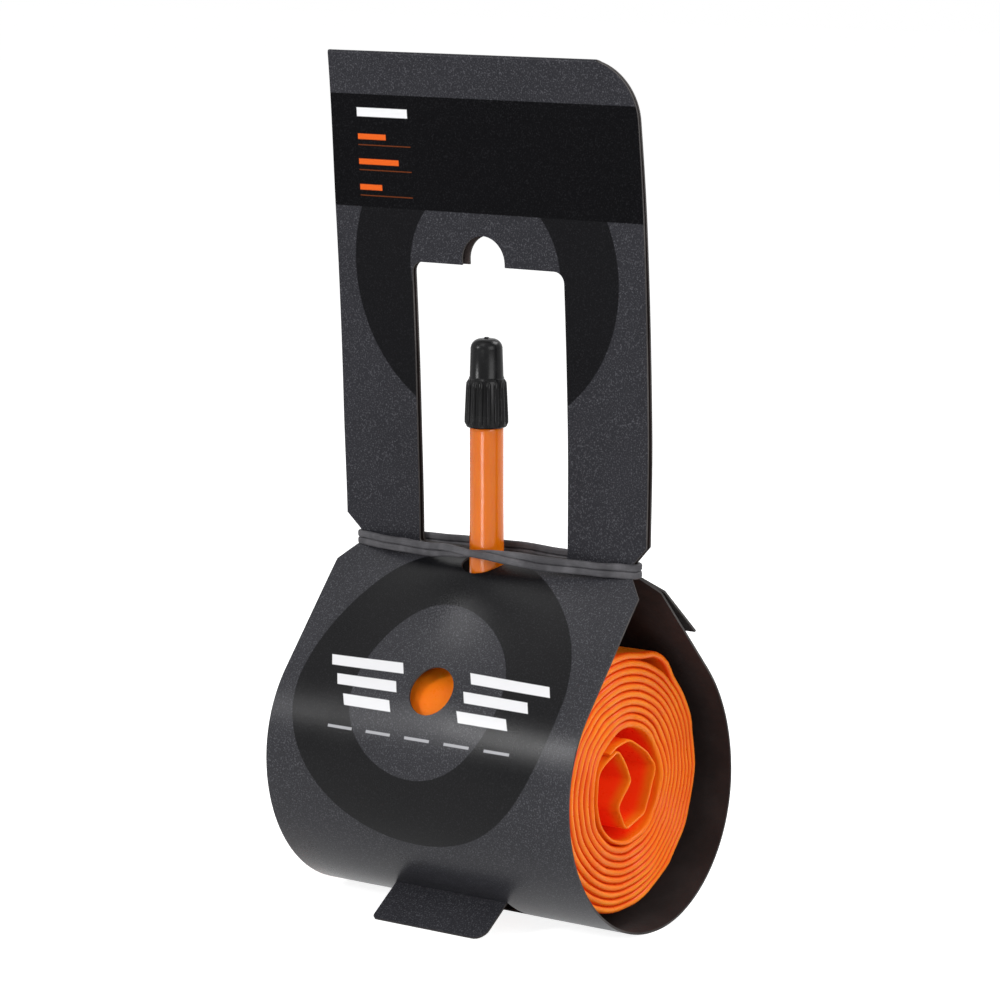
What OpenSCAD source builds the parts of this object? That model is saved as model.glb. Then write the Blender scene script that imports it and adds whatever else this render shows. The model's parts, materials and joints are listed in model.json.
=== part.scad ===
// Bicycle inner tube, flattened, rolled up and packed in a folded card sleeve that a rubber band closes.
// The pack stands on the sleeve's round bottom and on a foot tab, with the valve upright in the header.

/* [Card] */
// Width of the card
card_w = 66.4; // [63:0.2:74]
// Thickness of the card
card_t = 0.4; // [0.3:0.02:0.42]
// Gap between neighbouring plies at the neck
ply_gap = 0.17; // [0.16:0.01:0.3]
// Length of the header from the neck crease to the top fold
header_len = 89; // [80:1:100]
// Radius of the header's gentle forward bow
header_bow = 800; // [600:10:1200]
// Gap between the two header plies under the top fold
fold_gap = 0.12; // [0.06:0.01:0.3]
// Length of the straight run from the front ply into the top fold
fold_lead = 0.6; // [0.3:0.1:1]
// Radius of the header's rounded top corner
corner_r = 10.3; // [6:0.1:14]

/* [Neck] */
// Width left between the two neck notches
neck_w = 60.8; // [58:0.2:62]
// Height of the rubber band above the neck crease
band_rise = 1.8; // [1.6:0.1:2.4]
// Height of a notch's upper end above the band
notch_up = 3; // [2:0.1:5]
// Depth of a notch's lower end below the band
notch_down = 5.4; // [4:0.1:7]
// Half height of a notch's straight bottom
notch_half = 1.2; // [0.8:0.1:1.6]

/* [Header window] */
// Width of the window that the valve stands in
window_w = 32; // [26:0.5:40]
// Height of the window
window_h = 50; // [44:0.5:56]
// Height of the window's lower edge above the band
window_rise = 0.3; // [0:0.1:1]
// Radius of the window's corners
window_r = 2; // [1:0.1:4]
// Radius of the hang notch in the window's top edge
hang_r = 4.6; // [4:0.1:5.6]
// Sideways place of the hang notch
hang_x = -1.1; // [-2:0.1:0]
// Height of the hang notch above the window's top edge
hang_h = 5.4; // [5:0.1:8]
// Sideways slip of the rear ply's hang notch
hang_slip = 1; // [0:0.1:1.4]

/* [Sleeve] */
// Slope of the front panel below the neck, in degrees under level
front_slope = 49.3; // [46:0.1:52]
// Radius of the front bend, which lies against the rolled tube
front_r = 24; // [23:0.1:26]
// Radius of the belly bend under the front
belly_r = 27.1; // [26:0.1:30]
// Radius of the heel bend under the back
heel_r = 24; // [22:0.1:26]
// Radius of the back bend
back_r = 30; // [26:0.1:34]
// Slope of the back panel below the neck, in degrees under level
back_slope = 47; // [45:0.1:50]
// Length of the rear skirt outside the back panel
skirt_len = 18; // [12:0.5:24]
// Slope of the rear skirt, in degrees under level
skirt_slope = 41; // [36:0.5:42]
// Height of the tucked end above the neck crease
tuck_h = 1.9; // [1:0.1:2]
// Diameter of the round peep hole in the front
peep_d = 9; // [6:0.1:14]
// Turn of the peep hole round the front bend, in degrees
peep_turn = 1; // [0:0.5:20]
// Diameter of the valve hole under the neck
valve_hole_d = 8.8; // [8.6:0.1:9.4]

/* [Foot tab] */
// Width of the foot tab
foot_w = 24.5; // [16:0.5:34]
// Length of the foot tab from its crease
foot_len = 9.1; // [7.5:0.1:11]
// Turn of the foot crease round the belly from the foremost line, in degrees
foot_turn = 54; // [48:0.5:58]
// Radius of the tab's corners
foot_r = 2; // [1:0.1:3.5]
// Gap all round the tab's cut-out
foot_kerf = 0.3; // [0.2:0.05:0.6]
// Gap beside the round root of the tab
crease_gap = 0.12; // [0.08:0.01:0.2]

/* [Rolled tube] */
// Flat width of the tube
tube_w = 58; // [50:0.5:60]
// Thickness of one strand, the flattened tube folded double
strand_t = 1.05; // [0.9:0.01:1.08]
// Distance from one turn to the next
turn_pitch = 1.5; // [1.48:0.01:1.52]
// Number of turns round the core
turn_count = 9.46; // [9.4:0.01:9.5]
// Radius of the innermost turn where the inner fold joins it
core_r = 8.8; // [8.7:0.1:9.2]
// Gap between the outer turn and the front bend
roll_gap = 0.35; // [0.2:0.05:0.6]
// Drop of the roll below the centre of the front bend
roll_drop = 0.6; // [0:0.1:1]
// Height of the tent where the outer turn lifts off the roll
tent_h = 1.4; // [0:0.1:2]
// Turn from the tent to the strand's outer end, in degrees
tent_back = 60; // [58:1:66]
// Half the turn that the tent takes up, in degrees
tent_half = 18; // [12:1:18]

/* [Valve] */
// Sideways place of the valve
valve_x = 1; // [0:0.1:1]
// Distance of the valve's axis in front of the neck crease
valve_ahead = 3.8; // [3.7:0.1:4.4]
// Diameter of the valve stem
stem_d = 6; // [5.8:0.1:6.2]
// Diameter of the stem's root
root_d = 6.4; // [6.3:0.1:6.6]
// Height of the stem's top above the band
stem_rise = 22.2; // [20:0.1:24]
// Height of the root's straight part above the band
root_rise = 1.4; // [1:0.1:3]
// Height of the taper from the root to the stem
root_taper = 1.2; // [0.6:0.1:2]
// Radius of the weld patch at the valve's base
base_r = 6.6; // [5:0.1:7]
// Thickness of the weld patch
base_t = 0.9; // [0.6:0.1:1.2]
// Gap between the weld patch and the outer turn
base_gap = 0.2; // [0.1:0.05:0.4]
// Height of the collar on the weld patch
collar_h = 0.6; // [0.4:0.1:1]
// Diameter of the air channel in the stem
channel_d = 3; // [3:0.1:3.4]

/* [Valve core] */
// Diameter of the core's threaded length in the stem
core_d = 4.8; // [4.6:0.1:5]
// Length of the core's threaded part in the stem
core_thread_len = 9; // [7:0.5:11]
// Diameter of the core's nose below the thread
nose_d = 3.8; // [3.6:0.1:4]
// Length of the core's nose
nose_len = 2.4; // [2:0.1:3]
// Diameter of the flanged collar on the stem's end
flange_d = 5.4; // [5.2:0.1:5.5]
// Height of the collar
flange_h = 1.8; // [1.4:0.1:2.2]
// Distance across the collar's two spanner flats
flats_w = 5.1; // [5:0.05:5.15]
// Diameter of the core's upper thread
neck_d = 4.9; // [4.7:0.1:5]
// Height of the core's top above the stem's top
core_rise = 8; // [7.5:0.1:8.2]
// Diameter of the core's bore
core_bore_d = 2.5; // [2.3:0.1:2.6]
// Diameter of the valve pin
pin_d = 1.6; // [1.4:0.1:1.7]
// Height of the pin's tip above the stem's top
pin_rise = 13.8; // [13.7:0.1:14]
// Diameter of the pin's flared tip
tip_d = 2.3; // [2.2:0.1:2.5]
// Height of the pin's flared tip
tip_h = 0.5; // [0.4:0.1:0.6]
// Diameter of the pin's foot
pin_foot_d = 2.6; // [2.4:0.1:2.7]
// Height of the pin's foot
pin_foot_h = 1; // [0.6:0.1:1.4]
// Height of the seal on the pin's foot
pin_seal_h = 1.2; // [0.8:0.1:1.6]
// Diameter of the lock nut
nut_d = 4; // [3.8:0.1:4.2]
// Height of the lock nut
nut_h = 2.8; // [2.4:0.1:2.9]
// Height that the lock nut is backed off
nut_back = 2.3; // [2.2:0.05:2.4]
// Number of grooves round the lock nut
nut_grooves = 12; // [8:1:18]
// Width of a groove in the lock nut
groove_d = 0.4; // [0.2:0.05:0.5]
// Radial clearance of a running fit
fit = 0.05; // [0.03:0.01:0.08]

/* [Cap] */
// Length of the cap
cap_len = 15.6; // [15.4:0.1:17]
// Diameter of the fluted skirt at its mouth
skirt_d = 7.8; // [7.6:0.1:8]
// Diameter of the fluted skirt at its top
skirt_top_d = 7; // [6.9:0.1:7.4]
// Height of the fluted skirt
skirt_h = 8.4; // [8:0.1:9]
// Diameter of the dome above the skirt
dome_d = 6; // [5.9:0.1:6.2]
// Diameter of the dome at its shoulder
dome_top_d = 5.7; // [5.6:0.1:5.8]
// Number of flutes round the skirt
flute_count = 15; // [10:1:18]
// Width of the round cut that makes a flute
flute_d = 0.9; // [0.7:0.05:1.1]
// Depth of a flute
flute_depth = 0.28; // [0.15:0.01:0.35]
// Bevel round the cap's mouth
cap_bevel = 0.4; // [0.2:0.05:0.6]
// Radius of the dome's rounded top
dome_r = 1.8; // [1.2:0.1:2.4]
// Diameter of the nub on the dome
nub_d = 0.9; // [0.5:0.1:1.4]
// Height of the nub
nub_h = 0.25; // [0.1:0.05:0.4]
// Gap between the cap's mouth and the stem's top
cap_gap = 0.3; // [0.2:0.05:0.5]
// Radial clearance inside the cap
cap_fit = 0.15; // [0.1:0.01:0.2]

/* [Rubber band] */
// Thickness of one strand of the rubber band
band_d = 1; // [0.8:0.02:1.02]
// Distance of each strand from the middle of the pair
pair_r = 0.72; // [0.71:0.01:0.8]
// Gap between the band and what it holds
band_gap = 0.3; // [0.25:0.05:0.5]

/* [Hidden] */
$fn = 96;
// Length that cuts run past a face
over = 1;
// Depth of cuts that go right through the card from front to back
cut_depth = 40;
// Turn of each flat in a bend, in the top fold and in the cap's dome, in degrees
bend_step = 5;
fold_step_turn = 30;
dome_step = 15;
// Steps round a groove or a flute
groove_fn = 16;
// Flats in the header's bow
bow_flats = 8;

// The sheet's middle line in the (y, z) plane runs from the neck crease down the front, round and up the back
ply_step = card_t + ply_gap;
span_y = belly_r + heel_r - front_r * (1 - sin(front_slope)) - back_r * (1 - sin(back_slope)) - ply_step;
span_z = heel_r - belly_r - front_r * cos(front_slope) + back_r * cos(back_slope);
front_len = (span_y * sin(back_slope) + span_z * cos(back_slope)) / sin(front_slope + back_slope);
foremost_y = -front_len * cos(front_slope) - front_r * (1 - sin(front_slope));
rearmost_y = foremost_y + belly_r + heel_r;
lowest_z = -front_len * sin(front_slope) - front_r * cos(front_slope) - belly_r;
crease = [-(foremost_y + rearmost_y) / 2, card_t / 2 - lowest_z];
slope_end = crease - front_len * [cos(front_slope), sin(front_slope)];
front_c = slope_end + front_r * [sin(front_slope), -cos(front_slope)];
belly_c = front_c + [belly_r - front_r, 0];
heel_c = belly_c + [0, heel_r - belly_r];
back_c = heel_c + [heel_r - back_r, 0];
tuck = crease + [ply_step, 0];
rear_crease = crease + [2 * ply_step, 0];
band_z = crease.y + band_rise;

// Points of an arc round a centre, between two directions
function arc(centre, radius, from, to, step = bend_step) = let (n = ceil(abs(to - from) / step))
    [for (k = [0 : n]) let (a = from + (to - from) * k / n) centre + radius * [cos(a), sin(a)]];
function rest(list) = [for (i = [1 : len(list) - 1]) list[i]];
sleeve_path = concat([crease], arc(front_c, front_r, 90 + front_slope, 180), rest(arc(belly_c, belly_r, 180, 270)),
    rest(arc(heel_c, heel_r, 270, 360)), rest(arc(back_c, back_r, 0, 90 - back_slope)),
    [tuck, tuck + [0, tuck_h]]);

// The header's rear ply bows a little more, so that the plies close up under the top fold
fold_step = card_t + fold_gap;
rear_bow = 1 / (1 / header_bow + 2 * (2 * ply_step - fold_step) / pow(header_len, 2));
front_turn = header_len / header_bow * 180 / PI;
rear_turn = header_len / rear_bow * 180 / PI;
lead_turn = (header_len - fold_lead) / header_bow * 180 / PI;
front_end = crease + header_bow * [cos(lead_turn) - 1, sin(lead_turn)];
front_top = crease + header_bow * [cos(front_turn) - 1, sin(front_turn)];
rear_top = rear_crease + rear_bow * [cos(rear_turn) - 1, sin(rear_turn)];
fold_run = front_top - rear_top;
fold_turn = atan2(fold_run.y, fold_run.x);
fold_c = (front_top + rear_top) / 2;
header_top = fold_c.y + norm(fold_run) / 2 + card_t / 2;
front_path = concat([crease + [0, card_t / 2]],
    rest(arc(crease - [header_bow, 0], header_bow, 0, lead_turn, lead_turn / bow_flats)));
rear_path = concat([front_end], arc(fold_c, norm(fold_run) / 2, fold_turn, fold_turn - 180, fold_step_turn),
    rest(arc(rear_crease - [rear_bow, 0], rear_bow, rear_turn, 0, rear_turn / bow_flats)),
    [rear_crease + skirt_len * [cos(skirt_slope), -sin(skirt_slope)]]);

// The foot tab turns on its crease and its tip stands on the ground
foot_crease = belly_c - belly_r * [cos(foot_turn), sin(foot_turn)];
foot_tilt = asin(foot_crease.y / norm([foot_len, card_t / 2])) - atan(card_t / 2 / foot_len);
foot_root = card_t / 2 + crease_gap;

// The roll lies against the front bend
// The innermost turn starts at the inner fold's end, in degrees from the rear
start_angle = -45;
function turn_r(angle) = core_r + turn_pitch * (angle - start_angle) / 360;
end_angle = start_angle + 360 * turn_count;
front_angle = 180 + 360 * floor((end_angle - 180) / 360);
roll_shift = front_r - card_t / 2 - roll_gap - turn_r(front_angle) - strand_t / 2;
roll_c = front_c - [roll_shift, roll_drop];
valve_y = crease.x - valve_ahead;
valve_r = turn_r(end_angle) + strand_t / 2 + base_gap;
stem_foot = roll_c.y + valve_r + base_t + collar_h;
stem_top = band_z + stem_rise;
tent_angle = end_angle - tent_back;

// Heights in the valve's core
core_foot = stem_top - core_thread_len - nose_len;
socket_foot = core_foot - fit;
core_top = stem_top + core_rise;
pin_top = stem_top + pin_rise;
seal_top = core_foot - 2 * fit;
pin_foot_top = seal_top - pin_seal_h;
nut_foot = core_top + nut_back;
cap_foot = stem_top + cap_gap;
cap_top = cap_foot + cap_len;

// Colours
card_grey = [0.25, 0.25, 0.27];
tube_orange = [0.93, 0.43, 0.13];
brass = [0.78, 0.66, 0.38];
rubber_black = [0.13, 0.13, 0.14];

// Sweeps a profile drawn in the (y, z) plane along x
module along_x(width) rotate([90, 0, 90]) linear_extrude(width, center = true) children();

// Runs a shape drawn in the (x, z) plane through the card from front to back
module through_y() rotate([90, 0, 0]) linear_extrude(cut_depth, center = true) children();

// Stands a shape on the valve's axis
module on_valve(height = 0) translate([valve_x, valve_y, height]) children();

// Edge of the sheet at step i of its middle line, with mitred corners, at a distance from that line
function left_of(run) = [-run.y, run.x] / norm(run);
function edge_point(path, i, distance) = let (
    last = len(path) - 1,
    before = left_of(i == 0 ? path[1] - path[0] : path[i] - path[i - 1]),
    after = left_of(i == last ? path[last] - path[last - 1] : path[i + 1] - path[i]))
    path[i] + distance * (before + after) / (1 + before * after);

// Section of the sheet along its middle line
module sheet(path) polygon(concat([for (i = [0 : len(path) - 1]) edge_point(path, i, card_t / 2)],
    [for (i = [len(path) - 1 : -1 : 0]) edge_point(path, i, -card_t / 2)]));

// Both neck notches, where the rubber band sits
module neck_notches() through_y() for (side = [0, 1]) mirror([side, 0]) polygon([
    [neck_w / 2, band_z + notch_half / 2], [card_w / 2, band_z + notch_up],
    [card_w / 2 + over, band_z + notch_up], [card_w / 2 + over, band_z - notch_down],
    [card_w / 2, band_z - notch_down], [neck_w / 2, band_z - notch_half],
]);

// Window with its hang notch, cut through one ply
module window_cut(slip) through_y() {
    foot = band_z + window_rise;
    for (x = [-1, 1], z = [window_r, window_h - window_r])
        translate([x * (window_w / 2 - window_r), foot + z]) circle(window_r);
    translate([-window_w / 2, foot + window_r]) square([window_w, window_h - 2 * window_r]);
    translate([window_r - window_w / 2, foot]) square([window_w - 2 * window_r, window_h]);
    translate([hang_x + slip, foot + window_h + hang_h - hang_r]) circle(hang_r);
    translate([hang_x + slip - hang_r, foot + window_h - over]) square([2 * hang_r, hang_h - hang_r + over]);
}

// What the rounded top corner leaves out
module corner_cut() through_y() translate([card_w / 2 - corner_r, header_top - corner_r]) difference() {
    square(corner_r + over);
    circle(corner_r);
}

module header_front() color(card_grey) difference() {
    along_x(card_w) sheet(front_path);
    neck_notches();
    window_cut(0);
    corner_cut();
}

module header_back() color(card_grey) difference() {
    along_x(card_w) sheet(rear_path);
    neck_notches();
    window_cut(hang_slip);
    corner_cut();
}

module sleeve() color(card_grey) difference() {
    along_x(card_w) sheet(sleeve_path);
    neck_notches();
    peep_hole();
    valve_hole();
    foot_cut();
}

module peep_hole() translate([0, front_c.x, front_c.y]) rotate([front_slope + peep_turn, 0, 0])
    translate([0, 0, front_r - over]) cylinder(d = peep_d, h = 2 * over);

// The valve hole stops below the neck crease
module valve_hole() {
    foot = crease.y - card_t;
    depth = 2 * valve_hole_d;
    translate([0, valve_y, foot - depth]) cylinder(d = valve_hole_d, h = depth);
}

module foot_cut() {
    to_turn = 180 / PI / belly_r;
    from = 180 + foot_turn - foot_root * to_turn;
    to = 180 + foot_turn + (foot_len + foot_kerf) * to_turn;
    along_x(foot_w + 2 * foot_kerf) polygon(concat(arc(belly_c, belly_r - over, from, to),
        arc(belly_c, belly_r + over, to, from)));
}

module foot_tab() color(card_grey) translate([0, foot_crease.x, foot_crease.y]) {
    rotate([0, 90, 0]) cylinder(d = card_t, h = foot_w, center = true);
    rotate([180 + foot_tilt, 0, 0]) linear_extrude(card_t, center = true) {
        translate([-foot_w / 2, 0]) square([foot_w, foot_len - foot_r]);
        translate([foot_r - foot_w / 2, 0]) square([foot_w - 2 * foot_r, foot_len]);
        for (side = [-1, 1]) translate([side * (foot_w / 2 - foot_r), foot_len - foot_r]) circle(foot_r);
    }
}

// Inner end of the strand, folded through the core in the shape of an S
fold_points = [[-1.8, 5.6], [1.2, 2.8], [2, -0.6], [-0.9, -2.8], [-2.3, -5.2], [-0.4, -7.6], [3.2, -7.7]];
fold_steps = 3;
ring_step = 15;
function turn_point(angle) = (turn_r(angle) + tent_lift(angle)) * [cos(angle), sin(angle)];
function tent_lift(angle) = abs(angle - tent_angle) > tent_half ? 0
    : tent_h * (1 + cos(180 * (angle - tent_angle) / tent_half)) / 2;

// Smooth curve through four neighbouring points, at share u between the middle two
function through(a, b, c, d, u) = 0.5 * (2 * b + (c - a) * u + (2 * a - 5 * b + 4 * c - d) * u * u
    + (3 * b - a - 3 * c + d) * u * u * u);
strand_guide = concat([2 * fold_points[0] - fold_points[1]], fold_points,
    [turn_point(start_angle), turn_point(start_angle + ring_step)]);
strand_path = concat(
    [for (i = [1 : len(fold_points)], k = [0 : fold_steps - 1])
        through(strand_guide[i - 1], strand_guide[i], strand_guide[i + 1], strand_guide[i + 2], k / fold_steps)],
    [for (a = [start_angle : ring_step : end_angle]) turn_point(a)]);

// Least gap of a closed or open path of thickness t to itself, leaving out neighbours along it
function least_gap(path, t, skip) = min([for (i = [0 : len(path) - 1], j = [i + skip : 1 : len(path) - 1])
    if (j - i < len(path) - skip || path[0] != path[len(path) - 1]) norm(path[i] - path[j])]) - t;
// Neighbours along the strand that lie on the same stretch of a bend
bend_neighbours = 11;
echo(coiled_tube_least_gap = least_gap(strand_path, strand_t, bend_neighbours));

// Skin of a tube whose rings of points follow each other, closed by end faces or round on itself
module skin(rings, endless) {
    n = len(rings);
    m = len(rings[0]);
    last = endless ? n - 1 : n - 2;
    sides = [for (i = [0 : last], k = [0 : m - 1]) let (a = i * m, b = (i + 1) % n * m, l = (k + 1) % m)
        each [[a + k, b + l, a + l], [a + k, b + k, b + l]]];
    ends = endless ? [] : [for (k = [1 : m - 2]) each [[0, k, k + 1],
        [(n - 1) * m, (n - 1) * m + k + 1, (n - 1) * m + k]]];
    polyhedron([for (r = rings) each r], concat(sides, ends));
}

// Six points round the flat section of the strand at step i
function strand_ring(i) = let (
    last = len(strand_path) - 1,
    run = strand_path[min(i + 1, last)] - strand_path[max(i - 1, 0)],
    side = [-run.y, run.x] / norm(run),
    h = strand_t / 2,
    w = tube_w / 2)
    [for (p = [[w, 0], [w - h, h], [h - w, h], [-w, 0], [h - w, -h], [w - h, -h]])
        [p.x, strand_path[i].x + p.y * side.x + roll_c.x, strand_path[i].y + p.y * side.y + roll_c.y]];

module coiled_tube() color(tube_orange) skin([for (i = [0 : len(strand_path) - 1]) strand_ring(i)], false);

module valve_base() color(tube_orange) difference() {
    union() {
        intersection() {
            along_x(2 * (valve_x + base_r + over)) translate(roll_c) difference() {
                circle(valve_r + base_t);
                circle(valve_r);
            }
            on_valve(roll_c.y) cylinder(r = base_r, h = 2 * valve_r);
        }
        on_valve(stem_foot - collar_h - base_t / 2) cylinder(d = root_d, h = collar_h + base_t / 2);
    }
    on_valve(roll_c.y) cylinder(d = channel_d, h = 2 * valve_r);
}

module valve_stem() color(tube_orange) on_valve() difference() {
    rotate_extrude() polygon([[0, stem_foot], [root_d / 2, stem_foot], [root_d / 2, band_z + root_rise],
        [stem_d / 2, band_z + root_rise + root_taper], [stem_d / 2, stem_top], [0, stem_top]]);
    translate([0, 0, stem_foot - over]) cylinder(d = channel_d, h = stem_top - stem_foot);
    translate([0, 0, socket_foot]) cylinder(d = core_d + 2 * fit, h = stem_top - socket_foot + over);
}

module core_body() color(brass) on_valve() difference() {
    union() {
        translate([0, 0, core_foot]) cylinder(d = nose_d, h = nose_len + over);
        translate([0, 0, core_foot + nose_len]) cylinder(d = core_d, h = core_thread_len + over);
        translate([0, 0, stem_top]) intersection() {
            cylinder(d = flange_d, h = flange_h);
            translate([-flats_w / 2, -flange_d, 0]) cube([flats_w, 2 * flange_d, flange_h]);
        }
        translate([0, 0, stem_top]) cylinder(d = neck_d, h = core_rise);
    }
    translate([0, 0, core_foot - over]) cylinder(d = core_bore_d, h = core_top - core_foot + 2 * over);
}

module core_seal() color(rubber_black) on_valve(core_foot + fit) difference() {
    cylinder(d = core_d, h = nose_len - 2 * fit);
    translate([0, 0, -over]) cylinder(d = nose_d + fit, h = nose_len + 2 * over);
}

module core_pin() color(brass) on_valve() {
    translate([0, 0, pin_foot_top - pin_foot_h]) cylinder(d = pin_foot_d, h = pin_foot_h);
    translate([0, 0, pin_foot_top - pin_foot_h]) cylinder(d = pin_d, h = pin_top - pin_foot_top + pin_foot_h);
    translate([0, 0, pin_top - tip_h]) cylinder(d = tip_d, h = tip_h);
}

module pin_seal() color(rubber_black) on_valve(pin_foot_top) difference() {
    cylinder(d = pin_foot_d, h = pin_seal_h);
    translate([0, 0, -over]) cylinder(d = pin_d + fit, h = pin_seal_h + 2 * over);
}

module lock_nut() color(brass) on_valve(nut_foot) difference() {
    cylinder(d = nut_d, h = nut_h);
    translate([0, 0, -over]) cylinder(d = pin_d + 2 * fit, h = nut_h + 2 * over);
    for (i = [0 : nut_grooves - 1]) rotate(i * 360 / nut_grooves) translate([nut_d / 2, 0, -over])
        cylinder(d = groove_d, h = nut_h + 2 * over, $fn = groove_fn);
}

// Outline of the cap, turned round the valve's axis
module cap_outline() {
    dome_top = cap_top - nub_h;
    polygon(concat([[0, cap_foot], [skirt_d / 2 - cap_bevel, cap_foot], [skirt_d / 2, cap_foot + cap_bevel],
        [skirt_top_d / 2, cap_foot + skirt_h], [dome_d / 2, cap_foot + skirt_h]],
        arc([dome_top_d / 2 - dome_r, dome_top - dome_r], dome_r, 0, 90, dome_step),
        [[nub_d / 2, dome_top], [nub_d / 2, cap_top], [0, cap_top]]));
}

module valve_cap() color(rubber_black) on_valve() difference() {
    rotate_extrude() cap_outline();
    cap_hollow();
    cap_flutes();
}

module cap_hollow() {
    mouth_top = stem_top + flange_h + cap_gap;
    thread_top = core_top + cap_gap;
    translate([0, 0, cap_foot - over]) cylinder(d = flange_d + 2 * cap_fit, h = mouth_top - cap_foot + over);
    translate([0, 0, cap_foot]) cylinder(d = neck_d + 2 * cap_fit, h = thread_top - cap_foot);
    translate([0, 0, cap_foot]) cylinder(d = nut_d + 2 * cap_fit, h = pin_top + cap_gap - cap_foot);
}

module cap_flutes() {
    lean = atan((skirt_d - skirt_top_d) / 2 / skirt_h);
    for (i = [0 : flute_count - 1]) rotate(i * 360 / flute_count)
        translate([skirt_d / 2 + flute_d / 2 - flute_depth, 0, cap_foot - over]) rotate([0, -lean, 0])
            translate([0, 0, 2 * over]) cylinder(d = flute_d, h = skirt_h, $fn = groove_fn);
}

// Route of the rubber band: a belt round the two notches and the front of the valve's root
hold_r = ply_step + card_t / 2 + band_gap + band_d / 2 + pair_r;
hold_x = neck_w / 2 + band_gap + band_d / 2 + pair_r - hold_r;
valve_hold = root_d / 2 + band_gap + band_d / 2 + pair_r;
holds = [[-hold_x, tuck.x, hold_r], [valve_x, valve_y, valve_hold], [hold_x, tuck.x, hold_r]];
arc_steps = [7, 3, 7];
run_steps = 4;
function flat(p) = [p.x, p.y];
function leave_angle(i) = let (a = holds[i], b = holds[(i + 1) % 3], run = flat(b) - flat(a))
    atan2(run.y, run.x) - acos((a.z - b.z) / norm(run));
function belt_point(i, angle) = concat(flat(holds[i]) + holds[i].z * [cos(angle), sin(angle)], angle);
belt = [for (i = [0 : 2])
    let (from = leave_angle((i + 2) % 3), swing = (leave_angle(i) - from + 720) % 360, leave = from + swing,
        next = (i + 1) % 3)
    each concat([for (k = [0 : arc_steps[i]]) belt_point(i, from + swing * k / arc_steps[i])],
        [for (k = [1 : run_steps - 1]) let (a = belt_point(i, leave), b = belt_point(next, leave))
            concat(flat(a) + (flat(b) - flat(a)) * k / run_steps, leave)])];
loops = 2;
band_steps = loops * len(belt);
function band_twist(i) = 360 * i / band_steps;
function band_centre(i) = let (p = belt[i % len(belt)], out = pair_r * sin(band_twist(i)))
    [p.x + out * cos(p.z), p.y + out * sin(p.z), band_z + pair_r * cos(band_twist(i))];
band_path = [for (i = [0 : band_steps - 1]) band_centre(i)];
echo(rubber_band_least_gap = least_gap(concat(band_path, [band_path[0]]), band_d, len(belt) / 2));

module rubber_band() color(rubber_black) skin([for (i = [0 : band_steps - 1])
    let (c = band_path[i], a = belt[i % len(belt)].z)
    [for (k = [0 : 60 : 300]) c + band_d / 2 * [cos(k) * cos(a), cos(k) * sin(a), sin(k)]]], true);

header_front();
header_back();
sleeve();
foot_tab();
coiled_tube();
valve_base();
valve_stem();
core_body();
core_seal();
core_pin();
pin_seal();
lock_nut();
valve_cap();
rubber_band();
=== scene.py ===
import json
import math
import bmesh
import bpy
import numpy as np
from mathutils import Matrix, Vector
from mathutils.geometry import delaunay_2d_cdt

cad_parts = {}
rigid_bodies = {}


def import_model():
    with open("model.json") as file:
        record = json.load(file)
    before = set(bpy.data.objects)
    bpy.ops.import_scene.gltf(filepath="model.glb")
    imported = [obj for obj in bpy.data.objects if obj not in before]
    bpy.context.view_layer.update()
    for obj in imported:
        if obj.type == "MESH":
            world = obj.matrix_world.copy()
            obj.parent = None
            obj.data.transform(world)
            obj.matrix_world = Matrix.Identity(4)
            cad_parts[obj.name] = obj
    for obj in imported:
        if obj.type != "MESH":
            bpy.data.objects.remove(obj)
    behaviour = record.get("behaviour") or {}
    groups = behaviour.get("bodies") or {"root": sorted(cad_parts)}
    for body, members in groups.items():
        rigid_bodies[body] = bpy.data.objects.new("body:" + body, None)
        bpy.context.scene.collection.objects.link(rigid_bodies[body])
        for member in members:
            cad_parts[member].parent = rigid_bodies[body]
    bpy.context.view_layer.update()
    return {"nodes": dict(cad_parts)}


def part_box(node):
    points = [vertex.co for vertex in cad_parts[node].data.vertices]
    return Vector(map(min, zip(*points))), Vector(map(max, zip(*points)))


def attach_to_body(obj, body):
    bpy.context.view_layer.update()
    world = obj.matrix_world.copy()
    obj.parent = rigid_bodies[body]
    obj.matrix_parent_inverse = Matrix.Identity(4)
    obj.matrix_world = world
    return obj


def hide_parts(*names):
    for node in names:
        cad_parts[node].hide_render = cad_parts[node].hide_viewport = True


for leftover in list(bpy.data.objects):  # start from an empty stage
    bpy.data.objects.remove(leftover)
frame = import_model()
nodes = frame["nodes"]
scene = bpy.context.scene
mm = 0.001  # sizes below are in millimetres, meshes in metres
print("frame loaded:", len(nodes), "solids")


def boxOf(node):  # a node's lowest and highest corners in millimetres
    return [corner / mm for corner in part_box(node)]


def newObject(name, data):
    piece = bpy.data.objects.new(name, data)
    scene.collection.objects.link(piece)
    return piece


def attach(piece, body, node):
    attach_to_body(piece, body)
    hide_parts(node)


def awayAt(azimuth, elevation):  # the way out from the object, round from its front and up
    turn, lift = math.radians(azimuth), math.radians(elevation)
    return Vector((math.sin(turn) * math.cos(lift), -math.cos(turn) * math.cos(lift), math.sin(lift)))


def addAimed(name, data, place, away):  # a camera or lamp that looks back along the way out
    holder = newObject(name, data)
    holder.location = Vector(place) * mm
    holder.rotation_mode = "QUATERNION"
    holder.rotation_quaternion = away.to_track_quat("Z", "Y")
    return holder


# camera at the photograph's angle
cameraSet = {
    "place": (403.6, -555.3, 189.3),
    "azimuth": 36.0,
    "elevation": 9.51,
    "lens": 140.4,
    "sensor": 36.0,
}


def addCamera(setup):
    lens = bpy.data.cameras.new("camera")
    lens.lens = setup["lens"]
    lens.sensor_width = setup["sensor"]
    scene.camera = addAimed("camera", lens, setup["place"], awayAt(setup["azimuth"], setup["elevation"]))


addCamera(cameraSet)
print("camera set")


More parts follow.
